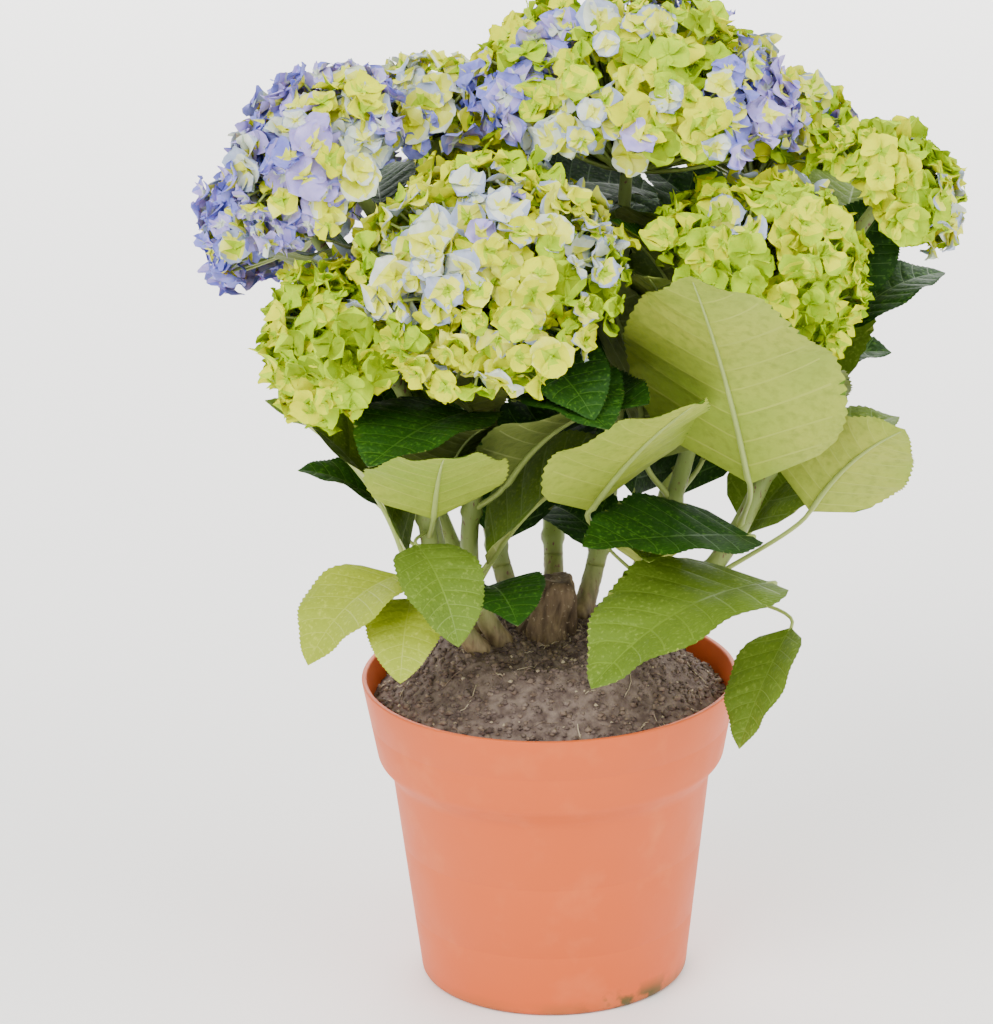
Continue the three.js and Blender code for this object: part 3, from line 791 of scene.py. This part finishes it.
def leafWishes(shoot):
    roll = diceFor(shoot["seed"] + plan["leafSeed"])
    wishes = [{**dict(zip(leafTerms, row)), "fold": plan["fold"]}
              for row in settled.get(shoot["name"], [])]
    for node, pair in enumerate(pairs):
        for half in (0, 180):
            wishes.append({
                "at": lerp(plan["leafy"], plan["flowering"], pair["at"]),
                "lead": 0, "stalk": plan["stalk"],
                "bearing": around(shoot["bearing"] + 90 * node + half, variety["bearing"], roll),
                "lift": around(pair["lift"], variety["lift"], roll),
                "bend": around(pair["bend"], variety["bend"], roll),
                "roll": around(0, variety["roll"], roll),
                "fold": around(plan["pairFold"], variety["fold"], roll),
                "size": pair["size"] * around(1, variety["size"], roll),
            })
    return wishes


def cornersOf(nodeName):
    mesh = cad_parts[nodeName].data
    tree = kdtree.KDTree(len(mesh.vertices))
    for i, corner in enumerate(mesh.vertices):
        tree.insert(corner.co, i)
    tree.balance()
    return tree


search = {"near": 0.0002, "places": [0.32, 0.32, 0.6, 0.6], "sides": [1, -1, 1, -1], "needed": 2}


def fitsSolid(tree, points, needed):
    near = sum(tree.find(Vector(point * mm))[2] < search["near"] for point in points)
    return near >= needed


def findLeaf(shoot, wish, tree):
    # the way round its neighbours that the leaf took among the solids, or nothing
    root = bezier(shoot["curve"], wish["at"])
    for shrink, swing, change in itertools.product(shrinks, swings, lifts):
        blade = layLeaf(root, {
            **wish, "bearing": wish["bearing"] + swing, "lift": wish["lift"] + change,
            "size": wish["size"] * shrink, "stalk": wish["stalk"] * (1 + shrink) / 2,
        })
        if not fitsSolid(tree, bladePoints(blade, [1.0], 0, 0), 1):
            continue
        half = blade["width"] / 2 * bladeShape(np.array(search["places"]))
        edges = bladePoints(blade, search["places"], half * np.array(search["sides"]), 0)
        if fitsSolid(tree, edges, search["needed"]):
            return blade
    return None


leaf = {
    "veins": 8, "firstVein": 0.08, "lastVein": 0.86, "veinHalf": 0.0038, "veinReach": 0.84,
    # how far side veins run forward, how they bend, and how unlike the two halves are
    "shear": 0.42, "shearBend": 1.2, "slip": 0.12,
    "drift": 0.011, "drifts": 2.7, "driftOther": 2.4,  # how unevenly the side veins follow one another
    "fullness": 0.88,  # under 1 rounds the blade towards its tip
    "columns": [0.02, 0.12, 0.3, 0.5, 0.7, 0.88, 1.0],
    "tooth": 0.75, "toothHalf": 8, "smallTeeth": 0.2,
    # rows from one vein to the next: place, height of the blade there, and its tooth
    "steps": [(0.2, 0.7, -0.5), (0.36, 0.95, 0.8), (0.52, 1.0, -0.5), (0.68, 0.9, 0.8),
              (0.84, 0.55, -0.5)],
    "veinTeeth": (0.8, 0.6), "tipFrom": 0.96,
    # rows before the first vein and after the last: place, whether a vein, height and tooth
    "footRows": [(0.0, False, 0.0, 0.0), (0.035, False, 0.4, 0.0)],
    "tipRows": [(0.975, False, 0.3, 0.0), (1.0, False, 0.0, 0.0)],
    "quilt": {"dark": 0.9, "mid": 0.75, "pale": 0.4, "fresh": 0.55},
    "crease": 9, "rim": 5,  # how steeply the quilting falls to the midrib and to the edge
    "ripple": 1.6, "ripples": 2.6, "rippleEdge": 2.5, "rippleOther": 1.9,
    "calmHalf": 12,  # narrower parts of a blade than this are calmer
    "soft": 0.05,  # how wide the fold along the midrib is
    "thick": 0.5, "thinEdge": 6,
    "ribSides": 7, "ribRings": 16, "ribRadius": 1.05, "ribTip": 0.22, "ribTaper": 0.8, "ribSunk": 0.75,
    "ribFrom": 0.04, "ribTo": 0.97, "smallRib": 0.15,
    "stalkRings": 12, "stalkFoot": 1.9, "footFade": 7, "leaving": 0.4, "arriving": 0.22,
    "darkShare": 0.55,
}


def leafRows():
    # for each row across the blade its share of the length, whether a vein starts there, and its height
    # and tooth
    spots = np.linspace(leaf["firstVein"], leaf["lastVein"], leaf["veins"])
    step = spots[1] - spots[0]
    rows = list(leaf["footRows"])
    for spot in spots:
        rows.append((spot - leaf["veinHalf"], True, 0.0, leaf["veinTeeth"][0]))
        rows.append((spot + leaf["veinHalf"], False, 0.0, leaf["veinTeeth"][1]))
        rows += [(spot + step * place, False, height, tooth) for place, height, tooth in leaf["steps"]]
    return [row for row in rows if row[0] < leaf["tipFrom"]] + leaf["tipRows"]


def addLeaf(heap, blade, roll):
    rows = leafRows()
    u = np.array([row[0] for row in rows])
    height = np.array([row[2] for row in rows])
    tooth = np.array([row[3] for row in rows])
    positive = np.array(leaf["columns"])
    v = np.concatenate([-positive[::-1], positive])
    uu, vv = np.meshgrid(u, v, indexing="ij")
    shear = leaf["shear"] * (1 + leaf["slip"] * np.sign(vv))
    phase = roll() * 2 * math.pi
    other = np.where(vv > 0, leaf["driftOther"], 0)
    drift = leaf["drift"] * np.sin(2 * math.pi * leaf["drifts"] * uu + phase + other)
    s = uu + (shear * np.abs(vv) ** leaf["shearBend"] * np.sqrt(uu) + 4 * drift * uu) * (1 - uu)
    size = blade["length"] / plan["leafLength"]
    half = blade["width"] / 2 * bladeShape(s, leaf["fullness"])
    calm = np.minimum(1, half / leaf["calmHalf"])
    teeth = tooth[:, None] * leaf["tooth"] * np.minimum(1, half / leaf["toothHalf"])
    edge = np.where(np.abs(vv) > 0.99, teeth, 0)
    w = np.sign(vv) * (np.abs(vv) * half + edge * min(1, size + leaf["smallTeeth"]))
    inside = (1 - np.exp(-leaf["crease"] * np.abs(vv))) * (1 - np.abs(vv) ** leaf["rim"])
    quilt = leaf["quilt"][blade["tint"]] * size * height[:, None] * inside * calm
    turn = 2 * math.pi * leaf["ripples"] * uu + phase + np.where(vv > 0, leaf["rippleOther"], 0)
    ripple = leaf["ripple"] * size * np.abs(vv) ** leaf["rippleEdge"] * np.sin(turn) * calm
    soft = leaf["soft"] * blade["width"]
    bank = (np.sqrt(w * w + soft * soft) - soft) * math.sin(blade["fold"])
    middle = bladePoints(blade, s, w, quilt + ripple, bank)
    facing = bladeTurn(blade, blade["lift"] - blade["bend"] * s)[1]
    thick = leaf["thick"] / 2 * (1 - np.abs(vv) ** leaf["thinEdge"])[..., None]
    faces = gridFaces(len(u), len(v))
    rowOf = np.repeat(np.arange(len(u) - 1), len(v) - 1)
    columnOf = np.tile(np.arange(len(v) - 1), len(u) - 1)
    isInner = np.abs(v[columnOf] + v[columnOf + 1]) / 2 < leaf["veinReach"]
    isVein = np.array([row[1] for row in rows])[rowOf] & isInner
    isRib = columnOf == len(v) // 2 - 1
    first = 4 * list(leafTints).index(blade["tint"])
    for shell, plain, veined, order in ((thick, first, first + 2, 1), (-thick, first + 1, first + 3, -1)):
        kinds = np.where(isVein | isRib, veined, plain)
        addTo(heap, (middle + facing * shell).reshape(-1, 3), faces[:, ::order], kinds)


def addRib(heap, blade):
    # stalk from the stem to the blade, then on as the midrib under it
    root, foot = blade["root"], blade["foot"]
    reach = np.linalg.norm(foot - root)
    outOfStem = blade["stalkOut"] * math.cos(blade["stalkLift"]) + up * math.sin(blade["stalkLift"])
    intoBlade = blade["out"] * math.cos(blade["lift"]) + up * math.sin(blade["lift"])
    shares = np.linspace(0, 1, leaf["stalkRings"])
    leaving = root + outOfStem * reach * leaf["leaving"]
    arriving = foot - intoBlade * reach * leaf["arriving"]
    route = bezier([root, leaving, arriving, foot], shares)
    swelling = (leaf["stalkFoot"] / leaf["ribRadius"] - 1) * np.exp(-shares * leaf["footFade"])
    radii = leaf["ribRadius"] * (1 + swelling)
    along = np.linspace(leaf["ribFrom"], leaf["ribTo"], leaf["ribRings"])
    size = min(1, blade["length"] / plan["leafLength"] + leaf["smallRib"])
    ribRadii = leaf["ribRadius"] * size * (1 - along) ** leaf["ribTaper"] + leaf["ribTip"]
    rib = bladePoints(blade, along, 0, -ribRadii * leaf["ribSunk"])
    allRadii = np.concatenate([radii * size, ribRadii])
    addTube(heap, np.concatenate([route, rib]), allRadii, leaf["ribSides"], 0)


def makeLeaves():
    leafLooks = makeLeafLooks()
    found, missed = 0, 0
    groups = {"front": ["front", "front_right", "right", "low_left", "left"],
              "back": ["middle", "left_back", "back_right", "back", "back_left"]}
    for group, names in groups.items():
        blades, stalks = newHeap(), newHeap()
        for shoot in shoots:
            if shoot["name"] not in names:
                continue
            roll = diceFor(shoot["seed"] + 7)
            tree = cornersOf(f"leaves_{shoot['name']}")
            addStem(stalks, shoot, plan["leafy"], plan["flowering"], stem["greenRings"], 1)
            for wish in leafWishes(shoot):
                blade = findLeaf(shoot, wish, tree)
                if blade is None:
                    missed += 1
                    continue
                found += 1
                blade["tint"] = wish.get("tint") or ("dark" if roll() < leaf["darkShare"] else "mid")
                addLeaf(blades, blade, roll)
                addRib(stalks, blade)
        nodes = [f"leaves_{name}" for name in names]
        makePiece(f"leaf_blades_{group}", blades, leafLooks, nodes)
        makePiece(f"leaf_stalks_{group}", stalks, [looks["stalk"], looks["stem"]], nodes)
    print(f"leaves: {found} grown, {missed} left out as among the solids")


sepal = {
    "rows": [0.0, 0.16, 0.34, 0.52, 0.7, 0.86, 0.96, 1.0],
    "half": [0.07, 0.34, 0.55, 0.64, 0.6, 0.44, 0.22, 0.03],
    "columns": [-1, -0.5, 0, 0.5, 1],
    "heart": (0.2, 0.42), "heartCurve": 0.12,  # where along a sepal its first two colours meet
    "edge": (0.6, 0.95), "edgeCurve": 0.2,  # and its last two
    "cup": 0.42, "droop": (0.05, 0.55), "rise": (-0.06, 0.5), "riseSpread": 0.1, "twist": 0.28,
    "crinkle": 0.11, "waves": (8, 4), "phase": 6.3, "tipBend": 0.1, "layers": (-0.02, 0.04),
    "length": (0.86, 1.12), "width": (0.84, 1.1), "spin": 0.16,
}

head = {
    "floret": 7.3, "size": (0.74, 1.22), "cover": 4.5,
    "lowest": 104, "openBelow": {"middle": 82},  # angle from the top at which the florets end
    "jitter": 0.45, "poleLimit": 0.3, "reach": (0.88, 1.04), "lean": 0.62, "lookFrom": 0.8,
    # depth of the hollows between clusters, how wide a cluster is, and how far it may swell
    "lump": 0.13, "lumpSize": 0.5, "swell": 0.2,
    "innerShare": 0.5, "innerReach": (0.7, 0.84),
    "bead": 0.9, "beadShape": (0.7, 0.6, 1.5),  # radius below and above, height of the tip
    "hubDrop": 0.12, "branchAt": 0.45, "branchDrop": 0.08,
    "stalkSides": 4, "stalkRings": 6, "stalkRadius": (1.0, 0.5), "stalkBack": (7, 0.4),
    "clear": 0.93,  # florets deeper than this in another head are left out
    "clump": 14, "clumped": 0.55,  # florets as near as this may share their colour
    "patchEdge": 0.05,
}

sepalTints = {
    "leafGreen": ((124, 152, 0), (148, 172, 4)),
    "lime": ((163, 196, 0), (188, 215, 0)),
    "yellow": ((212, 218, 0), (225, 229, 4)),
    "cream": ((220, 223, 62), (232, 234, 104)),
    "chalk": ((200, 209, 188), (220, 226, 212)),
    "greyBlue": ((154, 166, 192), (182, 192, 214)),
    "blue": ((120, 122, 206), (148, 150, 224)),
    "lilac": ((162, 150, 216), (190, 178, 232)),
}

# colours of a floret's heart, the middle of its sepals and their edges
floretSorts = {
    "green": ("leafGreen", "leafGreen", "lime"),
    "lime": ("lime", "lime", "lime"),
    "bright": ("lime", "yellow", "lime"),
    "yellow": ("lime", "yellow", "yellow"),
    "cream": ("lime", "yellow", "cream"),
    "pale": ("yellow", "cream", "chalk"),
    "misty": ("lime", "cream", "greyBlue"),
    "greyBlue": ("cream", "chalk", "greyBlue"),
    "blushed": ("lime", "yellow", "lilac"),
    "blue": ("cream", "blue", "blue"),
    "violet": ("chalk", "lilac", "blue"),
    "lilac": ("cream", "lilac", "lilac"),
}

# how common each sort is on a head, and near which directions (x right, y away, z up) others take over
heads = {
    "middle": {
        "main": {"yellow": 4, "bright": 3, "lime": 4, "green": 2, "cream": 2, "misty": 1.5,
                 "greyBlue": 1},
        "patches": [((-0.95, -0.35, 0.0), 0.8, {"violet": 4, "blue": 3, "greyBlue": 2, "blushed": 1}),
                    ((0.95, -0.3, 0.1), 0.8, {"violet": 3, "blue": 2, "lilac": 3, "pale": 1, "misty": 1}),
                    ((-0.5, -0.45, 0.75), 0.95, {"greyBlue": 3, "violet": 1, "lime": 1}),
                    ((-0.1, -1.0, 0.05), 0.93, {"misty": 2, "lilac": 1, "yellow": 2, "pale": 2}),
                    ((0.0, 1.0, 0.2), 0.6, {"blue": 3, "violet": 2, "misty": 2, "lime": 2})],
    },
    "front": {
        "main": {"yellow": 7, "bright": 2, "lime": 2, "cream": 4, "misty": 2, "pale": 1, "greyBlue": 1},
        "patches": [((-0.8, -0.5, 0.4), 0.82, {"misty": 3, "greyBlue": 3, "lime": 2, "pale": 2}),
                    ((0.0, -0.4, 1.0), 0.86, {"misty": 3, "greyBlue": 2, "lilac": 1, "yellow": 4}),
                    ((0.95, -0.4, 0.1), 0.86, {"misty": 3, "green": 3, "greyBlue": 2, "lime": 1})],
    },
    "front_right": {
        "main": {"lime": 8, "bright": 5, "yellow": 2, "green": 2},
        "patches": [((-0.1, -0.6, 0.9), 0.96, {"misty": 3, "greyBlue": 2, "lime": 2}),
                    ((0.3, 0.9, 0.3), 0.7, {"misty": 2, "yellow": 2})],
    },
    "right": {
        "main": {"lime": 7, "bright": 4, "yellow": 2, "green": 4},
        "patches": [((0.5, -0.6, -0.5), 0.75, {"misty": 3, "pale": 2, "lime": 1}),
                    ((0.7, 0.7, 0.0), 0.7, {"greyBlue": 2, "yellow": 2})],
    },
    "left": {
        "main": {"blue": 3, "violet": 4, "lilac": 3, "greyBlue": 5, "misty": 1, "blushed": 1},
        "patches": [((0.2, -0.5, 0.95), 0.92, {"yellow": 2, "cream": 3, "pale": 2, "misty": 1}),
                    ((0.35, -0.9, 0.0), 0.93, {"yellow": 2, "cream": 2, "pale": 1}),
                    ((-0.6, -0.8, -0.1), 0.95, {"cream": 2, "pale": 2, "misty": 2})],
    },
    "left_back": {
        "main": {"misty": 4, "yellow": 1, "pale": 7, "cream": 3, "greyBlue": 4, "bright": 1,
                 "blushed": 1},
        "patches": [((0.2, -0.9, -0.3), 0.85, {"blue": 2, "violet": 3, "yellow": 2, "greyBlue": 2})],
    },
    "low_left": {
        "main": {"yellow": 5, "bright": 4, "lime": 3, "green": 3},
        "patches": [((0.0, 0.9, 0.3), 0.6, {"misty": 2, "violet": 1, "lime": 2})],
    },
    "back_right": {
        "main": {"yellow": 4, "bright": 2, "lime": 3, "cream": 2, "misty": 1},
        "patches": [((0.6, 0.8, 0.0), 0.75, {"blue": 3, "violet": 2, "blushed": 1})],
    },
    "back": {
        "main": {"lime": 4, "yellow": 3, "misty": 2, "greyBlue": 1},
        "patches": [((-0.5, 0.9, 0.1), 0.8, {"blue": 3, "violet": 3}),
                    ((0.8, 0.5, 0.0), 0.8, {"lilac": 2, "blushed": 2})],
    },
    "back_left": {
        "main": {"blue": 4, "violet": 4, "lilac": 2, "misty": 1},
        "patches": [((0.0, 0.5, 0.9), 0.85, {"yellow": 3, "misty": 2, "lime": 1})],
    },
}


def pick(weights, share):
    spot = share * sum(weights.values())
    for name, weight in weights.items():
        spot -= weight
        if spot < 0:
            return name
    return name


def domePoint(shoot, polar, bearing, scale):
    side, fore = across(shoot["axis"])
    height = math.cos(polar) * (plan["domeCrown"] if math.cos(polar) > 0 else plan["domeUnder"])
    reach = scale * shoot["radius"]
    return (shoot["middle"] + side * reach * math.sin(polar) * math.cos(bearing)
            + fore * reach * math.sin(polar) * math.sin(bearing) + shoot["axis"] * reach * height)


def depthIn(shoot, point):
    # 1 on the dome's surface, less inside it
    offset = point - shoot["middle"]
    height = float(offset @ shoot["axis"])
    flat = np.linalg.norm(offset - shoot["axis"] * height)
    tall = plan["domeCrown"] if height > 0 else plan["domeUnder"]
    return math.hypot(flat, height / tall) / shoot["radius"]


def midway(values):
    values = np.array(values)
    return (values[:-1] + values[1:]) / 2


def addFloret(heap, centre, facing, size, sort, kindOf, roll):
    side, fore = across(facing)
    turn = roll() * math.pi
    s = np.array(sepal["rows"])[:, None]
    v = np.array(sepal["columns"])[None, :]
    half = np.array(sepal["half"])[:, None]
    faces = gridFaces(len(sepal["rows"]), len(sepal["columns"]))
    heart, body, edge = (kindOf[tint] for tint in floretSorts[sort])
    along = midway(sepal["rows"])[:, None]
    aside = np.abs(midway(sepal["columns"]))[None, :]
    openness = roll()
    for quarter in range(4):
        angle = turn + quarter * math.pi / 2 + around(0, sepal["spin"], roll)
        length = size * between(*sepal["length"], roll)
        widen = between(*sepal["width"], roll)
        rise = lerp(*sepal["rise"], openness) + around(0, sepal["riseSpread"], roll)
        droop = between(*sepal["droop"], roll)
        twist = around(0, sepal["twist"], roll)
        waves = sepal["waves"][0] * s + sepal["waves"][1] * v + roll() * sepal["phase"]
        x = s * (1 - sepal["tipBend"] * v * v)
        y = half * v * widen
        z = rise * s - droop * s * s + sepal["cup"] * v * v * half + twist * v * np.sin(math.pi * s)
        z = z + sepal["crinkle"] * np.sin(waves) * np.abs(v) + sepal["layers"][quarter % 2]
        out = side * math.cos(angle) + fore * math.sin(angle)
        cross = fore * math.cos(angle) - side * math.sin(angle)
        points = (centre + out * (x * length)[..., None] + cross * (y * length)[..., None]
                  + facing * (z * length)[..., None])
        inner = between(*sepal["heart"], roll) - sepal["heartCurve"] * aside
        outer = between(*sepal["edge"], roll) - sepal["edgeCurve"] * aside
        kinds = np.where(along < inner, heart, np.where(along < outer, body, edge))
        addTo(heap, points.reshape(-1, 3), faces, kinds.reshape(-1))
    addBead(heap, centre, facing, side, fore, heart)


def addBead(heap, centre, facing, side, fore, kind):
    low, high, tip = (head["bead"] * share for share in head["beadShape"])
    ring = np.array([side, fore, -side, -fore])
    points = np.concatenate([centre + ring * low, centre + ring * high + facing * head["bead"],
                             [centre + facing * tip]])
    addTo(heap, points, gridFaces(2, 4, wrap=True), kind)
    start = heap["count"] - len(points)
    heap["faces"].extend([[start + 4 + i, start + 4 + (i + 1) % 4, start + 8] for i in range(4)])
    heap["kinds"].extend([kind] * 4)


def sortFor(shoot, centre, roll):
    tints = heads[shoot["name"]]
    direction = unit(centre - shoot["middle"])
    weights = tints["main"]
    for towards, closeness, patch in tints["patches"]:
        if float(direction @ unit(np.array(towards))) > closeness + around(0, head["patchEdge"], roll):
            weights = patch
            break
    cell = np.floor(centre / head["clump"])
    shared = diceFor(int(abs(cell @ np.array([73856, 19349, 83492]))) + 1)
    share = roll()
    return pick(weights, shared() if roll() < head["clumped"] else share)


def addHead(sepals, stalks, shoot, kindOf):
    roll = diceFor(shoot["seed"] + 3)
    lowest = math.cos(math.radians(head["openBelow"].get(shoot["name"], head["lowest"])))
    part = (1 - lowest) / (1 - math.cos(math.radians(head["lowest"])))
    count = round(head["cover"] * (shoot["radius"] / head["floret"]) ** 2 * part)
    step = math.sqrt(2 * math.pi * (1 - lowest) / count)
    hub = bezier(shoot["curve"], 1.0) - shoot["axis"] * head["hubDrop"] * shoot["radius"]
    others = [other for other in shoots if other is not shoot]
    for share, reach in ((1, head["reach"]), (head["innerShare"], head["innerReach"])):
        number = round(count * share)
        for i in range(number):
            polar = math.acos(1 - (i + 0.5) / number * (1 - lowest))
            polar = abs(polar + around(0, step * head["jitter"], roll))
            turned = around(0, step * head["jitter"], roll)
            bearing = i * goldenAngle + turned / max(head["poleLimit"], math.sin(polar))
            onBall = domePoint(shoot, polar, bearing, 1) / shoot["radius"] / head["lumpSize"]
            swell = noise.noise(Vector(onBall + shoot["seed"]))
            scale = between(*reach, roll) + head["lump"] * min(head["swell"], swell)
            size = head["floret"] * between(*head["size"], roll)
            centre = domePoint(shoot, polar, bearing, scale)
            inner = domePoint(shoot, polar, bearing, scale * head["lookFrom"])
            lean = np.array([around(0, head["lean"], roll) for _ in range(3)])
            facing = unit(unit(centre - inner) + lean)
            sort = sortFor(shoot, centre, roll)
            if any(depthIn(other, centre) < head["clear"] for other in others):
                continue
            addFloret(sepals, centre, facing, size, sort, kindOf, roll)
            addFlowerStalk(stalks, hub, centre, facing, shoot)


def addFlowerStalk(heap, hub, centre, facing, shoot):
    branch = lerp(hub, centre, head["branchAt"]) - shoot["axis"] * head["branchDrop"] * shoot["radius"]
    arriving, end = (centre - facing * back for back in head["stalkBack"])
    route = bezier([hub, branch, arriving, end], np.linspace(0, 1, head["stalkRings"]))
    radii = np.linspace(*head["stalkRadius"], head["stalkRings"])
    addTube(heap, route, radii, head["stalkSides"], 0, closeEnds=False)


def makeHeads():
    kindOf = {name: i for i, name in enumerate(sepalTints)}
    sepalLooks = [makeSepal(f"{name}Sepal", *[srgb(*colour) for colour in tint])
                  for name, tint in sepalTints.items()]
    groups = {"top": ["middle", "left_back", "back"],
              "front": ["front", "front_right", "right", "low_left"],
              "side": ["left", "back_right", "back_left"]}
    for group, members in groups.items():
        sepals, stalks = newHeap(), newHeap()
        for shoot in shoots:
            if shoot["name"] not in members:
                continue
            addHead(sepals, stalks, shoot, kindOf)
            addStem(stalks, shoot, plan["flowering"], 1.0, stem["flowerRings"], 1)
        nodes = [f"bloom_{name}" for name in members]
        makePiece(f"florets_{group}", sepals, sepalLooks, nodes)
        makePiece(f"flower_stalks_{group}", stalks, [looks["stalk"], looks["stem"]], nodes)


studio = {
    "floorSize": 12, "floorColours": (srgb(250, 248, 244), srgb(254, 252, 250)),
    "lights": [  # place, what it points at, size, power
        ((-1.6, -2.2, 2.6), (0, 0, 0.18), 2.4, 141),
        ((2.2, -1.4, 2.0), (0, 0, 0.18), 2.6, 69),
        ((0.3, 2.2, 2.4), (0, 0, 0.18), 2.6, 36),
        ((0, 2.6, 1.2), (0, 2.4, 0), 2.4, 95),
    ],
    "sky": 1.14,
    "cameraPlace": (-0.0182, -2.035, 0.904),
    "cameraPitch": 19.65,
    "cameraRoll": 1.1,
    "focalPixels": 6000,
    "imageHeight": 1024,
    "sensor": 36,
}


def makeStudio():
    size = studio["floorSize"] / 2
    mesh = bpy.data.meshes.new("studio_floor")
    corners = [(-size, -size, 0), (size, -size, 0), (size, size, 0), (-size, size, 0)]
    mesh.from_pydata(corners, [], [(0, 1, 2, 3)])
    floor = bpy.data.objects.new("studio_floor", mesh)
    bpy.context.scene.collection.objects.link(floor)
    look = Look("paleFloor", 0.7, Specular_IOR_Level=0.2)
    look.colour(look.mix(look.noise(0.8), *studio["floorColours"]))
    mesh.materials.append(look.material)
    world = bpy.data.worlds.new("studioSky")
    world.use_nodes = True
    sky = world.node_tree.nodes["Background"]
    sky.inputs["Color"].default_value = (1, 1, 1, 1)
    sky.inputs["Strength"].default_value = studio["sky"]
    bpy.context.scene.world = world
    for i, (place, aim, width, power) in enumerate(studio["lights"]):
        light = bpy.data.lights.new(f"softbox{i}", "AREA")
        light.shape = "SQUARE"
        light.size = width
        light.energy = power
        lamp = bpy.data.objects.new(f"softbox{i}", light)
        lamp.location = place
        lamp.rotation_euler = (Vector(aim) - Vector(place)).to_track_quat("-Z", "Y").to_euler()
        bpy.context.scene.collection.objects.link(lamp)


def makeCamera():
    data = bpy.data.cameras.new("camera")
    data.sensor_width = studio["sensor"]
    data.lens = studio["focalPixels"] / studio["imageHeight"] * studio["sensor"]
    data.clip_start = 0.1
    camera = bpy.data.objects.new("camera", data)
    camera.location = studio["cameraPlace"]
    pitch = Matrix.Rotation(math.radians(90 - studio["cameraPitch"]), 4, "X")
    turn = Matrix.Rotation(math.radians(-studio["cameraRoll"]), 4, "Z")
    camera.rotation_euler = (pitch @ turn).to_euler()
    bpy.context.scene.collection.objects.link(camera)
    bpy.context.scene.camera = camera


makePot()
print("pot made")
makeSoil()
makeCrumbs()
print("soil made")
makeWoodyBase()
makeBareStems()
print("stems made")
makeLeaves()
makeHeads()
print("heads made")
makeStudio()
makeCamera()
